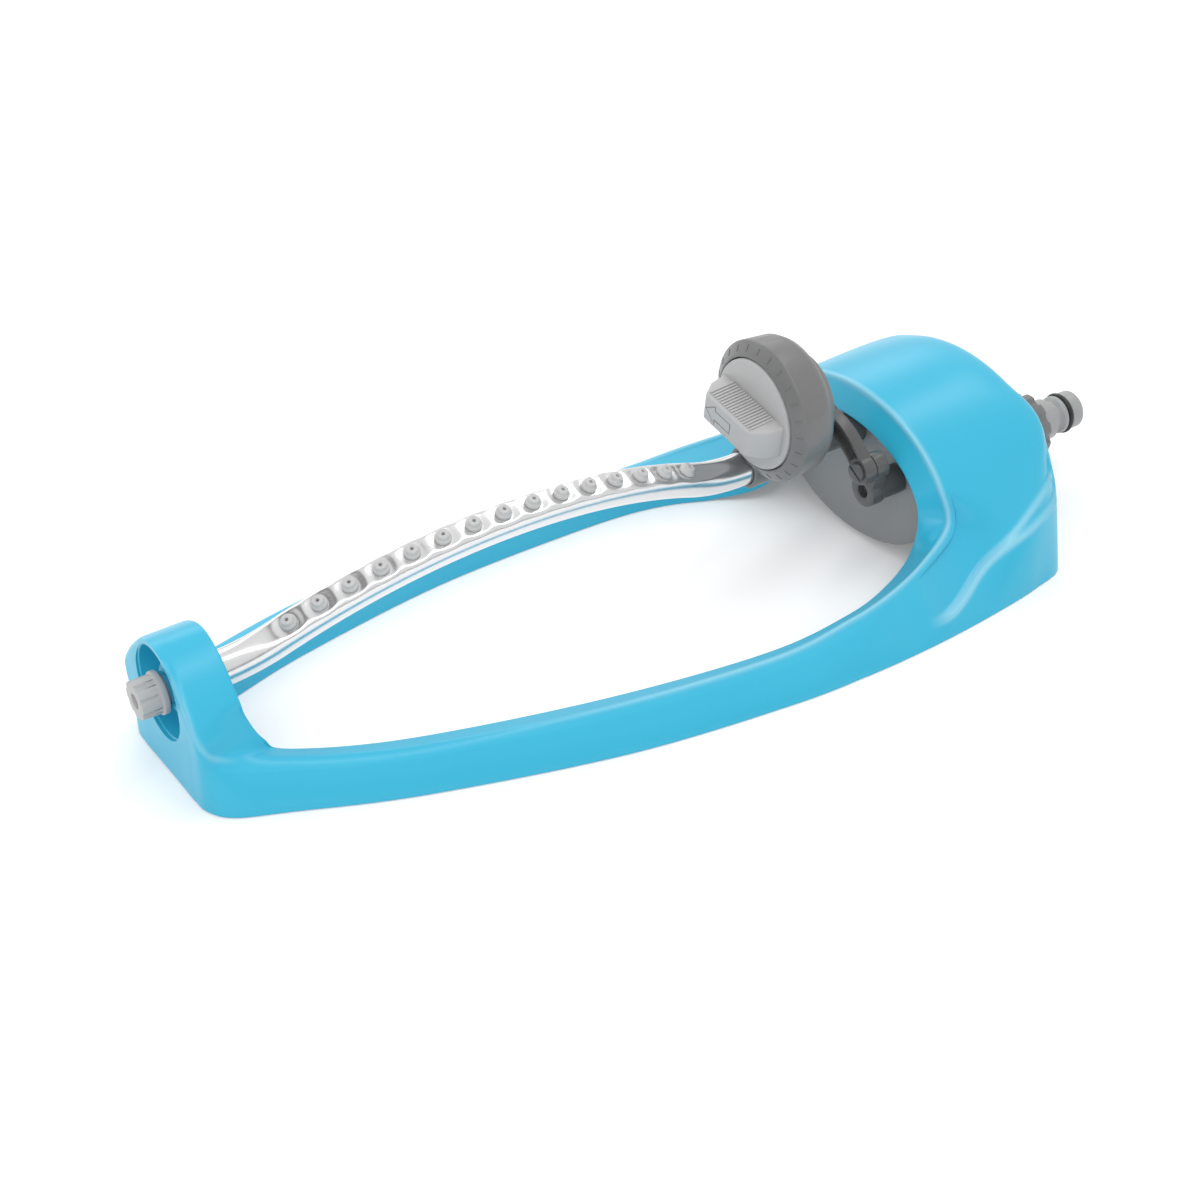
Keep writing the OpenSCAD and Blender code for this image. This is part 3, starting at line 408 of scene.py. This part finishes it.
def turned(name, profile, place, segments=96):
    """A solid of revolution about the local X axis, from (place along it, radius) pairs in mm."""
    shape = bmesh.new()
    rings = []
    for s, r in profile:
        if r < 1e-6:
            rings.append([shape.verts.new((s, 0, 0))])
        else:
            rings.append([shape.verts.new((s, r * math.cos(2 * math.pi * i / segments),
                                           r * math.sin(2 * math.pi * i / segments)))
                          for i in range(segments)])
    for a, b in zip(rings, rings[1:] + rings[:1]):
        for i in range(segments):
            corners = [a[i % len(a)], a[(i + 1) % len(a)], b[(i + 1) % len(b)], b[i % len(b)]]
            corners = [v for n, v in enumerate(corners) if v not in corners[:n]]
            if len(corners) > 2:
                shape.faces.new(corners)
    bmesh.ops.recalc_face_normals(shape, faces=shape.faces)
    mesh = bpy.data.meshes.new(name)
    shape.to_mesh(mesh)
    shape.free()
    mesh.transform(place)
    made = bpy.data.objects.new(name, mesh)
    scene.collection.objects.link(made)
    return made


def rod(name, s0, s1, radius, place):
    """A plain round rod between two places on the local X axis."""
    return turned(name, [(s0, 0), (s0, radius), (s1, radius), (s1, 0)], place)


def bar_block(name, low, high, place):
    """A box between two corners in mm."""
    corners = [(x, y, z) for x in (low[0], high[0]) for y in (low[1], high[1])
               for z in (low[2], high[2])]
    made = piece_from(name, corners, [(0, 1, 3, 2), (4, 6, 7, 5), (0, 4, 5, 1), (2, 3, 7, 6),
                                      (0, 2, 6, 4), (1, 5, 7, 3)])
    made.data.transform(place)
    return made


def outward(mesh):
    """Merges doubles and points every face outwards."""
    shape = bmesh.new()
    shape.from_mesh(mesh)
    bmesh.ops.remove_doubles(shape, verts=shape.verts, dist=1e-7)
    bmesh.ops.recalc_face_normals(shape, faces=shape.faces)
    shape.to_mesh(mesh)
    shape.free()


def settle(piece):
    """Turns a piece's modifiers into a plain mesh."""
    bpy.context.view_layer.update()
    graph = bpy.context.evaluated_depsgraph_get()
    made = bpy.data.meshes.new_from_object(piece.evaluated_get(graph))
    piece.modifiers.clear()
    old, piece.data = piece.data, made
    made.name = piece.name
    bpy.data.meshes.remove(old)


def combine(piece, tool, operation):
    """Cuts a tool from a piece or fuses it on, and removes the tool."""
    step = piece.modifiers.new("combine", "BOOLEAN")
    step.operation, step.object, step.solver = operation, tool, "EXACT"
    settle(piece)
    bpy.data.objects.remove(tool)


def smooth(piece, angle=35):
    """Smooth shading with sharp edges past an angle."""
    piece.data.shade_smooth()
    piece.data.set_sharp_from_angle(angle=math.radians(angle))


outward(shell.data)
tunnel_start, tunnel_end, tunnel_chamfer, tunnel_wall = 3.0, ring_length - 1, 0.4, 2.0
eye_start, eye_end, eye_radius, eye_bore, web, web_sink = 8.0, 18.0, 10.2, 8.1, 2.4, 0.8
inlet_drop, neck_radius, neck_room, inlet_depth = 31.9, 10.2, 0.6, 14
core_room, core_past = 0.5, 9
inlet = drive @ Matrix.Translation((0, 0, -inlet_drop))
combine(shell, rod("tunnel_core", -core_past, ring_length + core_past, tunnel_radius + core_room,
                   drive), "DIFFERENCE")
combine(shell, rod("inlet_core", body_length - inlet_depth, body_length + core_past,
                   neck_radius + neck_room, inlet), "DIFFERENCE")
tunnel = turned("tunnel", [(tunnel_start, tunnel_radius + tunnel_chamfer),
                           (tunnel_start + tunnel_chamfer, tunnel_radius),
                           (tunnel_end, tunnel_radius), (tunnel_end, tunnel_radius + tunnel_wall),
                           (tunnel_start, tunnel_radius + tunnel_wall)], drive)
combine(shell, tunnel, "UNION")
eye = turned("eye", [(eye_start, eye_bore), (eye_end, eye_bore), (eye_end, eye_radius),
                     (eye_start, eye_radius)], drive)
combine(shell, eye, "UNION")
for turn in (0, 120, 240):
    spoke = drive @ Matrix.Rotation(math.radians(turn), 4, "X")
    combine(shell, bar_block("web", (eye_start, -web / 2, eye_radius - web_sink),
                             (eye_end, web / 2, tunnel_radius + web_sink), spoke), "UNION")
smooth(shell)


def moulded_plastic(name, colour, shade, rough, grain_mm, edge=None):
    """Injection-moulded plastic: an even colour with slow flow marks, and a satin skin from a
    lightly sparked mould, so highlights are soft and broken by a fine grain. The grain is drawn
    coarser than the real one to show."""
    flow_mm, grain_depth, plastic_ior = 45, 0.1, 1.49
    smoother, duller = 0.04, 0.06
    finish, tree = empty_material(name)
    place = add_node(tree, "ShaderNodeTexCoord").outputs["Object"]
    flow = add_node(tree, "ShaderNodeTexNoise", None,
                    {"Vector": place, "Scale": 1000 / flow_mm, "Detail": 3.0})
    tint = add_node(tree, "ShaderNodeMix", {"data_type": "RGBA"},
                    {0: flow.outputs["Fac"], 6: linear(colour), 7: linear(shade)})
    # An edge colour is a painted highlight: the colour is mixed towards it by the share stored on
    # the mesh, standing in for light caught on the edges.
    if edge:
        painted_highlight_node = add_node(tree, "ShaderNodeAttribute", {"attribute_name": "arris"})
        tint = add_node(tree, "ShaderNodeMix", {"data_type": "RGBA"},
                        {0: painted_highlight_node.outputs["Fac"], 6: tint.outputs[2], 7: linear(edge)})
    grain = add_node(tree, "ShaderNodeTexNoise", None,
                     {"Vector": place, "Scale": 1000 / grain_mm, "Detail": 2.0})
    gloss = add_node(tree, "ShaderNodeMapRange", None,
                     {"Value": grain.outputs["Fac"], "To Min": rough - smoother,
                      "To Max": rough + duller})
    relief = add_node(tree, "ShaderNodeBump", None,
                      {"Height": grain.outputs["Fac"], "Strength": 0.05,
                       "Distance": grain_mm / 1000 * grain_depth})
    surface = add_node(tree, "ShaderNodeBsdfPrincipled", None,
                       {"Base Color": tint.outputs[2], "Roughness": gloss.outputs[0],
                        "Normal": relief.outputs[0], "IOR": plastic_ior})
    add_node(tree, "ShaderNodeOutputMaterial", None, {"Surface": surface.outputs[0]})
    return finish


def dress(piece, finish):
    """Gives a piece one material all over."""
    piece.data.materials.clear()
    piece.data.materials.append(finish)


# Sky-blue polypropylene: a smooth satin sheen, with a painted highlight, a paler blue, on the bead
# and the ledges' lips.
sky_blue = moulded_plastic("sky_blue_moulded_polypropylene", "#30B6D9", "#39BADC",
                           rough=0.3, grain_mm=0.7, edge="#C4EBF6")
dress(shell, sky_blue)
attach(shell, "base")
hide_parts("base_shell")

# Front bearing
# A plain bush in the frame's own blue plastic, pressed into the eye, with a thin flange in front.
# The tube's front end turns in it.


def eased(node, name, finish, ease_mm):
    """A copy of a CAD node with its doubles merged and its moulded edges rounded over."""
    flat_within, ease_past, shade_past = 0.8, 30, 40
    shape = bmesh.new()
    shape.from_mesh(frame["nodes"][node].data)
    bmesh.ops.remove_doubles(shape, verts=shape.verts, dist=1e-6)
    bmesh.ops.dissolve_limit(shape, angle_limit=math.radians(flat_within), verts=shape.verts,
                             edges=shape.edges)
    mesh = bpy.data.meshes.new(name)
    shape.to_mesh(mesh)
    shape.free()
    made = bpy.data.objects.new(name, mesh)
    scene.collection.objects.link(made)
    step = made.modifiers.new("ease", "BEVEL")
    step.width, step.segments, step.limit_method = ease_mm / 1000, 3, "ANGLE"
    step.angle_limit, step.use_clamp_overlap = math.radians(ease_past), False
    settle(made)
    smooth(made, shade_past)
    dress(made, finish)
    bodies = frame["record"]["behaviour"]["bodies"]
    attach(made, next(body for body, members in bodies.items() if node in members))
    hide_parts(node)
    return made


eased("end_bush", "front_bush", sky_blue, ease_mm=0.2)

# End plug
# A fluted screw cap in light grey ABS, unscrewed by hand to flush the tube, with a rubber
# O-ring on its stem.
# Light grey ABS: duller than the frame, so the flutes show by their shade and not by glints.
light_grey = moulded_plastic("light_grey_moulded_abs", "#B4B4B4", "#BABABA",
                             rough=0.42, grain_mm=0.6)
eased("end_plug", "flush_plug", light_grey, ease_mm=0.35)


def moulded_rubber(name, colour, rough):
    """Moulded rubber: a dull skin with a faint, patchy bloom, so its highlight is wide and weak."""
    bloom_mm, bloom_height_mm = 1.2, 0.1
    finish, tree = empty_material(name)
    place = add_node(tree, "ShaderNodeTexCoord").outputs["Object"]
    bloom = add_node(tree, "ShaderNodeTexNoise", None,
                     {"Vector": place, "Scale": 1000 / bloom_mm, "Detail": 3.0})
    paler = add_node(tree, "ShaderNodeMapRange", None,
                     {"Value": bloom.outputs["Fac"], "To Min": 0.9, "To Max": 1.1})
    tint = add_node(tree, "ShaderNodeHueSaturation", None,
                    {"Color": linear(colour), "Value": paler.outputs[0]})
    relief = add_node(tree, "ShaderNodeBump", None,
                      {"Height": bloom.outputs["Fac"], "Strength": 0.06,
                       "Distance": bloom_height_mm / 1000})
    surface = add_node(tree, "ShaderNodeBsdfPrincipled", None,
                       {"Base Color": tint.outputs[0], "Roughness": rough,
                        "Normal": relief.outputs[0]})
    add_node(tree, "ShaderNodeOutputMaterial", None, {"Surface": surface.outputs[0]})
    return finish


# Black nitrile: almost black, with one soft line of light along each ring.
black_rubber = moulded_rubber("black_moulded_nitrile", "#232323", rough=0.42)
dress(frame["nodes"]["plug_o_ring"], black_rubber)

# Spray tube
# A thin aluminium tube, bent to an arch and polished. Its top is pressed into a row of shallow
# dimples, one round each nozzle, with low saddles between them.
tube_radius, tube_wall, tube_start, straight = 6.5, 0.9, 4.5, 18.0
arch_angle, bend_radius, swing = 25.0, 57.0, 23.4
strip_height, saddle_lift, nozzle_count, nozzle_pitch = 4.4, 0.5, 15, 11.8
dimple_radius, dimple_rise, dimple_squeeze = 2.8, 3.2, 0.75
strip_past, strip_fade, fade_over, strip_soft = 3.5, 24, 1.2, 1.1
arch_rings, straight_rings, bore_rings, bore_angles = 521, 8, 60, 24
bend_start, bend_end = tube_start + straight, 241.7
arch_middle = (bend_start + bend_end) / 2
arch_radius = (bend_end - bend_start) / 2 / math.sin(math.radians(arch_angle)) - bend_radius
arch_base = (bend_radius * (1 - math.cos(math.radians(arch_angle)))
             - arch_radius * math.cos(math.radians(arch_angle)))
bar = drive @ Matrix.Rotation(math.radians(swing), 4, "X")
arch_half = math.radians(arch_angle) * arch_radius
bend_length = math.radians(arch_angle) * bend_radius
half_length = arch_half + bend_length + straight


def tube_line(a):
    """Place and upward normal on the tube's centre line, a mm from the arch's middle."""
    side, reach = math.copysign(1, a), abs(a)
    if reach <= arch_half:
        turn = reach / arch_radius
        s, h = arch_radius * math.sin(turn), arch_base + arch_radius * math.cos(turn)
    elif reach <= arch_half + bend_length:
        turn = (arch_half + bend_length - reach) / bend_radius
        s = arch_middle - bend_start - bend_radius * math.sin(turn)
        h = bend_radius * (1 - math.cos(turn))
    else:
        turn, h = 0, 0
        s = arch_middle - bend_start + reach - arch_half - bend_length
    return (np.array([arch_middle + side * s, 0, h]),
            np.array([side * math.sin(turn), 0, math.cos(turn)]))


def pressed(a, across_mm, radius):
    """Height of the pressed top over the centre line, eased into the round of the tube."""
    reach = (nozzle_count - 1) / 2 * nozzle_pitch
    near = np.clip(round((a + reach) / nozzle_pitch), 0, nozzle_count - 1) * nozzle_pitch - reach
    away = math.hypot(a - near, dimple_squeeze * across_mm)
    saddle = saddle_lift * ease_in((away - dimple_radius) / dimple_rise)
    top = strip_height + saddle - (tube_radius - radius)
    fade = ease_in((abs(a) - reach - strip_past) / strip_fade)
    top = blend_to(top, radius + fade_over, fade)
    round_top = math.sqrt(max(radius ** 2 - across_mm ** 2, 0))
    gap = max(strip_soft - abs(top - round_top), 0) / strip_soft
    return min(top, round_top) - gap * gap * strip_soft / 4


def tube_ring(a, radius, angles):
    """Points round the tube at one place, pressed in at the top."""
    centre, up = tube_line(a)
    side = np.array([0, 1, 0])
    points = []
    for angle in angles:
        y, h = radius * math.sin(angle), radius * math.cos(angle)
        if h > 0:
            h = min(h, pressed(a, y, radius))
        points.append(centre + side * y + up * h)
    return points


top_angles, under_angles = np.linspace(-84, 84, 81), np.linspace(92, 268, 23)
fine = [math.radians(d) for d in np.concatenate([top_angles, under_angles])]
coarse = [2 * math.pi * i / bore_angles for i in range(bore_angles)]
curved = arch_half + bend_length
outside_at = np.concatenate([np.linspace(-half_length, -curved, straight_rings)[:-1],
                             np.linspace(-curved, curved, arch_rings),
                             np.linspace(curved, half_length, straight_rings)[1:]])
inside_at = np.linspace(half_length, -half_length, bore_rings)
points, faces = [], []
for places, radius, angles in ((outside_at, tube_radius, fine),
                               (inside_at, tube_radius - tube_wall, coarse)):
    first, around = len(points), len(angles)
    for a in places:
        points += tube_ring(a, radius, angles)
    faces += [(first + i * around + j, first + i * around + (j + 1) % around,
               first + (i + 1) * around + (j + 1) % around, first + (i + 1) * around + j)
              for i in range(len(places) - 1) for j in range(around)]
tube = piece_from("spray_tube_dimpled", points, faces)
shape = bmesh.new()
shape.from_mesh(tube.data)
rims, rim_reach = [e for e in shape.edges if e.is_boundary], 3
for end in (min, max):
    limit = end(v.co.x for e in rims for v in e.verts)
    bmesh.ops.bridge_loops(
        shape, edges=[e for e in rims if abs(e.verts[0].co.x - limit) < rim_reach])
bmesh.ops.recalc_face_normals(shape, faces=shape.faces)
shape.to_mesh(tube.data)
shape.free()
tube.data.transform(bar)
smooth(tube, 45)

# Polished drawn aluminium: near-mirror, with faint draw lines along the tube that stretch
# the reflections into long streaks. The lines are drawn coarser than the real ones to show.
line_length_mm, line_width_mm, line_depth_mm = 30, 0.6, 0.05
line_scale = (1000 / line_length_mm, 1000 / line_width_mm, 1000 / line_width_mm)
polished, tree = empty_material("polished_drawn_aluminium")
place = add_node(tree, "ShaderNodeTexCoord").outputs["Object"]
drawn = add_node(tree, "ShaderNodeMapping", None, {"Vector": place, "Scale": line_scale})
lines = add_node(tree, "ShaderNodeTexNoise", None,
                 {"Vector": drawn.outputs[0], "Scale": 1.0, "Detail": 2.0})
gloss = add_node(tree, "ShaderNodeMapRange", None,
                 {"Value": lines.outputs["Fac"], "To Min": 0.2, "To Max": 0.27})
relief = add_node(tree, "ShaderNodeBump", None,
                  {"Height": lines.outputs["Fac"], "Strength": 0.04,
                   "Distance": line_depth_mm / 1000})
surface = add_node(tree, "ShaderNodeBsdfPrincipled", None,
                   {"Base Color": linear("#E6E6E7"), "Metallic": 1.0, "Roughness": gloss.outputs[0],
                    "Normal": relief.outputs[0]})
add_node(tree, "ShaderNodeOutputMaterial", None, {"Surface": surface.outputs[0]})
dress(tube, polished)
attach(tube, "spray_bar")
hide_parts("spray_tube")

# Spray nozzles
# Soft grey silicone grommets with a pinhole each, pushed into the tube's holes from outside:
# a wide foot in the dimple and a smaller cap on top.

# Grey silicone: pale and dull, so the caps stand out from the bright tube without a glint.
silicone = moulded_rubber("grey_moulded_silicone", "#C2C2C2", rough=0.45)
nozzle_profile = [(-1.9, 0), (-1.9, 2.3), (-1.05, 2.5), (-1.05, 2.1), (0.1, 2.1), (0.1, 2.95),
                  (0.9, 3.0), (1.2, 2.88), (1.38, 2.6), (1.5, 2.4), (1.75, 2.24), (2.6, 2.15),
                  (2.82, 2.04), (2.9, 1.88), (2.9, 0.74), (2.8, 0.66), (-1.3, 0.6), (-1.3, 0)]
upright = (Matrix.Translation((arch_middle, 0, arch_base + arch_radius + strip_height))
           @ Matrix.Rotation(math.radians(-90), 4, "Y"))
one_nozzle = turned("one_nozzle", nozzle_profile, upright, 40)


def repeat_tree(name, finish, prototype, count, step, pivot, shift):
    """A tree that turns copies of a prototype about a pivot, or shifts them, in equal steps."""
    made = bpy.data.node_groups.new(name, "GeometryNodeTree")
    for label, kind, value in (("Count", "NodeSocketInt", count),
                               ("Step", "NodeSocketVector", step),
                               ("Pivot", "NodeSocketVector", pivot),
                               ("Shift", "NodeSocketVector", shift)):
        made.interface.new_socket(label, in_out="INPUT", socket_type=kind).default_value = value
    made.interface.new_socket("Geometry", in_out="OUTPUT", socket_type="NodeSocketGeometry")
    given = add_node(made, "NodeGroupInput").outputs
    dots = add_node(made, "GeometryNodePoints", None, {"Count": given["Count"]})
    source = add_node(made, "GeometryNodeObjectInfo", None, {"Object": prototype})
    copies = add_node(made, "GeometryNodeInstanceOnPoints", None,
                      {"Points": dots.outputs[0], "Instance": source.outputs["Geometry"]})
    last = add_node(made, "ShaderNodeMath", {"operation": "SUBTRACT"}, {0: given["Count"], 1: 1.0})
    half = add_node(made, "ShaderNodeMath", {"operation": "MULTIPLY"}, {0: last.outputs[0], 1: 0.5})
    order = add_node(made, "ShaderNodeMath", {"operation": "SUBTRACT"},
                     {0: add_node(made, "GeometryNodeInputIndex").outputs[0], 1: half.outputs[0]})
    turn = add_node(made, "ShaderNodeVectorMath", {"operation": "SCALE"},
                    {0: given["Step"], "Scale": order.outputs[0]})
    placed = add_node(made, "GeometryNodeRotateInstances", None,
                      {"Instances": copies.outputs[0], "Rotation": turn.outputs[0],
                       "Pivot Point": given["Pivot"], "Local Space": False})
    move = add_node(made, "ShaderNodeVectorMath", {"operation": "SCALE"},
                    {0: given["Shift"], "Scale": order.outputs[0]})
    spaced = add_node(made, "GeometryNodeTranslateInstances", None,
                      {"Instances": placed.outputs[0], "Translation": move.outputs[0],
                       "Local Space": False})
    solid = add_node(made, "GeometryNodeRealizeInstances", None, {"Geometry": spaced.outputs[0]})
    faced = add_node(made, "GeometryNodeSetMaterial", None,
                     {"Geometry": solid.outputs[0], "Material": finish})
    add_node(made, "NodeGroupOutput", None, {"Geometry": faced.outputs[0]})
    return made


def repeated(name, finish, prototype, count, step, pivot, place, angle=40, shift=(0.0, 0.0, 0.0)):
    """A plain mesh of a prototype repeated about a pivot or along a shift, in mm, then placed."""
    made = piece_from(name, [], [])
    grown = repeat_tree(name + "_tree", finish, prototype, count, step, pivot, shift)
    modifier = made.modifiers.new("repeat", "NODES")
    modifier.node_group = grown
    for label, value in (("Count", count), ("Step", step), ("Pivot", pivot), ("Shift", shift)):
        modifier[grown.interface.items_tree[label].identifier] = value
    settle(made)
    bpy.data.objects.remove(prototype)
    made.data.transform(place)
    smooth(made, angle)
    return made


nozzles = repeated("spray_nozzles_soft", silicone, one_nozzle, nozzle_count,
                   (0.0, nozzle_pitch / arch_radius, 0.0), (arch_middle, 0.0, arch_base), bar)
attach(nozzles, "spray_bar")
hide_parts("spray_nozzles")

# Tube connector
# A dark grey ABS moulding: the collar on the tube's back end, the dial ring over it and the
# journal that turns in the motor's outlet. Raised ticks round the ring's cone mark the settings.

# Dark grey ABS: a satin skin with a soft light line along each eased edge.
dark_grey = moulded_plastic("dark_grey_moulded_abs", "#727272", "#777777",
                            rough=0.34, grain_mm=0.6)
eased("tube_connector", "connector", dark_grey, ease_mm=0.5)
dress(frame["nodes"]["outlet_seal"], black_rubber)
dial_height, dial_edge, dial_cone, dial_radius = 32.5, 243.2, 3.5, 27.5
disc_radius, disc_room = 21.3, 1.2
dial = bar @ Matrix.Translation((0, 0, dial_height))
tick_width, tick_length, tick_height, tick_count = 0.55, 2.6, 0.22, 24
cone_run = dial_radius - disc_radius - disc_room
cone_slope = math.atan2(dial_cone, cone_run)
cone_middle = (dial_edge - dial_cone / 2, 0, (dial_radius + disc_radius + disc_room) / 2)
on_cone = Matrix.Translation(cone_middle) @ Matrix.Rotation(cone_slope, 4, "Y")
one_tick = bar_block("one_tick", (-tick_height, -tick_width / 2, -tick_length / 2),
                     (tick_height, tick_width / 2, tick_length / 2), on_cone)
tick_step = (2 * math.pi / tick_count, 0.0, 0.0)
ticks = repeated("dial_ticks", dark_grey, one_tick, tick_count, tick_step, (0.0, 0.0, 0.0), dial)
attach(ticks, "spray_bar")

# Range dial
# A light grey ABS disc with a bar grip, turned by hand to set how far the tube swings. Fine ribs
# on the grip's upper side and a plain outlined arrow are moulded on. A plated screw holds the
# eccentric behind it.
grip_turn, grip_length, grip_width, grip_depth = -11.0, 37.0, 13.5, 12.5
grip_sink, waist_share, waist_inset, top_inset = 0.6, 0.55, 1.2, 5.5
disc_front, disc_depth, shaft_radius, shaft_end = 238.7, 4.0, 5.0, 263.9
disc_edge = ((0, 0.7), (0.2, 0.2), (0.8, 0))
disc_profile = [(disc_front, 0)] + [(disc_front + s, disc_radius - r) for s, r in disc_edge]
disc_profile += [(disc_front + disc_depth, disc_radius), (disc_front + disc_depth, shaft_radius),
                 (shaft_end, shaft_radius), (shaft_end, 0)]
grip = turned("range_grip", disc_profile, Matrix())
ends = [(disc_front + grip_sink, grip_length / 2),
        (disc_front - waist_share * grip_depth, grip_length / 2 - waist_inset),
        (disc_front - grip_depth, grip_length / 2 - top_inset)]
side = [(s, -y) for s, y in ends] + [(s, y) for s, y in reversed(ends)]
lean, grip_round = 1.1, 1.0
grip_points = [(s, y, way * (grip_width / 2 - lean * (disc_front - s) / grip_depth))
               for way in (-1, 1) for s, y in side]
bar_faces = [tuple(range(5, -1, -1)), tuple(range(6, 12))]
bar_faces += [(i, (i + 1) % 6, (i + 1) % 6 + 6, i + 6) for i in range(6)]
handle = piece_from("grip_bar", grip_points, bar_faces)
outward(handle.data)
edge_round = handle.modifiers.new("edge_round", "BEVEL")
edge_round.width, edge_round.segments, edge_round.limit_method = grip_round, 4, "ANGLE"
settle(handle)
arrow = [(12.3, 0.0), (6.0, 4.5), (6.0, 2.3), (-3.2, 2.3), (-3.2, -2.3), (6.0, -2.3), (6.0, -4.5)]
arrow_line, arrow_depth, arrow_start = 0.5, 0.5, -0.4
loop_points = []
for s, inset in ((arrow_start, 0.0), (arrow_depth, 0.0), (arrow_depth, 1.0), (arrow_start, 1.0)):
    for k, corner in enumerate(arrow):
        before, after = np.array(arrow[k - 1]), np.array(arrow[(k + 1) % len(arrow)])
        into, out = np.array(corner) - before, after - np.array(corner)
        into, out = into / np.linalg.norm(into), out / np.linalg.norm(out)
        turn_in = np.array([-(into[1] + out[1]), into[0] + out[0]])
        turn_in *= arrow_line / (np.linalg.norm(turn_in) ** 2 / 2)
        y, z = np.array(corner) + inset * turn_in
        loop_points.append((disc_front - grip_depth + s, y, z))
around = len(arrow)
loop_faces = [(k * around + i, k * around + (i + 1) % around,
               (k + 1) % 4 * around + (i + 1) % around, (k + 1) % 4 * around + i)
              for k in range(4) for i in range(around)]
pointer = piece_from("grip_arrow", loop_points, loop_faces)
outward(pointer.data)
combine(handle, pointer, "DIFFERENCE")
grip_frame = Matrix.Rotation(math.radians(grip_turn), 4, "X")
handle.data.transform(grip_frame)
combine(grip, handle, "UNION")
grip.data.transform(dial)
smooth(grip, 30)
dress(grip, light_grey)
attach(grip, "range_dial")
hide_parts("dial_grip")
rib_count, rib_pitch, rib_width, rib_height, rib_sink = 18, 1.45, 0.75, 0.5, 0.4
rib_start, rib_end = 0.4, 11.2
on_side = (Matrix.Translation((disc_front, 0, grip_width / 2))
           @ Matrix.Rotation(-math.atan2(lean, grip_depth), 4, "Y"))
one_rib = bar_block("one_rib", (-rib_end, -rib_width / 2, -rib_sink),
                    (-rib_start, rib_width / 2, rib_height), on_side)
ribs = repeated("grip_ribs", light_grey, one_rib, rib_count, (0.0, 0.0, 0.0), (0.0, 0.0, 0.0),
                dial @ grip_frame, 40, (0.0, rib_pitch, 0.0))
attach(ribs, "range_dial")
dress(frame["nodes"]["dial_eccentric"], dark_grey)

# Zinc-plated steel: a fine satin metal with faint turning marks, drawn coarse enough to show.
mark_mm = 0.8
zinc, tree = empty_material("zinc_plated_steel")
place = add_node(tree, "ShaderNodeTexCoord").outputs["Object"]
marks = add_node(tree, "ShaderNodeTexNoise", None,
                 {"Vector": place, "Scale": 1000 / mark_mm, "Detail": 2.0})
gloss = add_node(tree, "ShaderNodeMapRange", None,
                 {"Value": marks.outputs["Fac"], "To Min": 0.25, "To Max": 0.4})
surface = add_node(tree, "ShaderNodeBsdfPrincipled", None,
                   {"Base Color": linear("#C4C6C9"), "Metallic": 1.0,
                    "Roughness": gloss.outputs[0]})
add_node(tree, "ShaderNodeOutputMaterial", None, {"Surface": surface.outputs[0]})
dress(frame["nodes"]["dial_screw"], zinc)

# Drive link and crank
# Charcoal glass-filled nylon: a bowed channel link from behind the dial to the crank on the
# motor's shaft, held by a slotted shoulder screw.

# Charcoal glass-filled nylon: darker than the ABS round it and a little shinier.
charcoal = moulded_plastic("charcoal_glass_filled_nylon", "#555555", "#5A5A5A",
                           rough=0.28, grain_mm=0.5)
eased("link_arm", "drive_link", charcoal, ease_mm=0.35)
eased("link_screw", "link_shoulder_screw", charcoal, ease_mm=0.2)
eased("output_crank", "drive_crank", charcoal, ease_mm=0.4)

# Water motor
# A sealed case behind an oval cover. Inside, a water wheel turns the crank through two spur
# gear stages on steel pins.

# Cover grey ABS: a paler satin, so the oval still shows in the hood's shade.
cover_grey = moulded_plastic("cover_grey_moulded_abs", "#8E8E8E", "#949494",
                             rough=0.36, grain_mm=0.6)
eased("motor_front_plate", "motor_cover", cover_grey, ease_mm=0.6)
for node in ("inner_plate", "motor_case"):
    dress(frame["nodes"][node], dark_grey)

# Natural acetal: off-white and a little waxy.
acetal = moulded_plastic("natural_moulded_acetal", "#E4E1D8", "#DAD7CD",
                         rough=0.4, grain_mm=0.8)
for node in ("output_gear", "compound_gear", "turbine_wheel", "inlet_filter"):
    dress(frame["nodes"][node], acetal)
for node in ("output_shaft", "gear_axle", "turbine_shaft"):
    dress(frame["nodes"][node], zinc)
for node in ("shaft_seal", "inlet_washer"):
    dress(frame["nodes"][node], black_rubber)

# Hose inlet
# A lobed dark grey coupling nut holds the light grey quick-connect spigot against the motor's
# neck. A black rubber O-ring seals the spigot.
eased("inlet_nut", "hose_nut_lobed", dark_grey, ease_mm=0.6)

# Mid grey ABS: a satin between the greys of the nut and the end plug.
mid_grey = moulded_plastic("mid_grey_moulded_abs", "#A0A0A0", "#A6A6A6",
                           rough=0.33, grain_mm=0.6)
eased("inlet_nipple", "hose_spigot_turned", mid_grey, ease_mm=0.3)
smooth(frame["nodes"]["nipple_o_ring"], 60)
dress(frame["nodes"]["nipple_o_ring"], black_rubber)
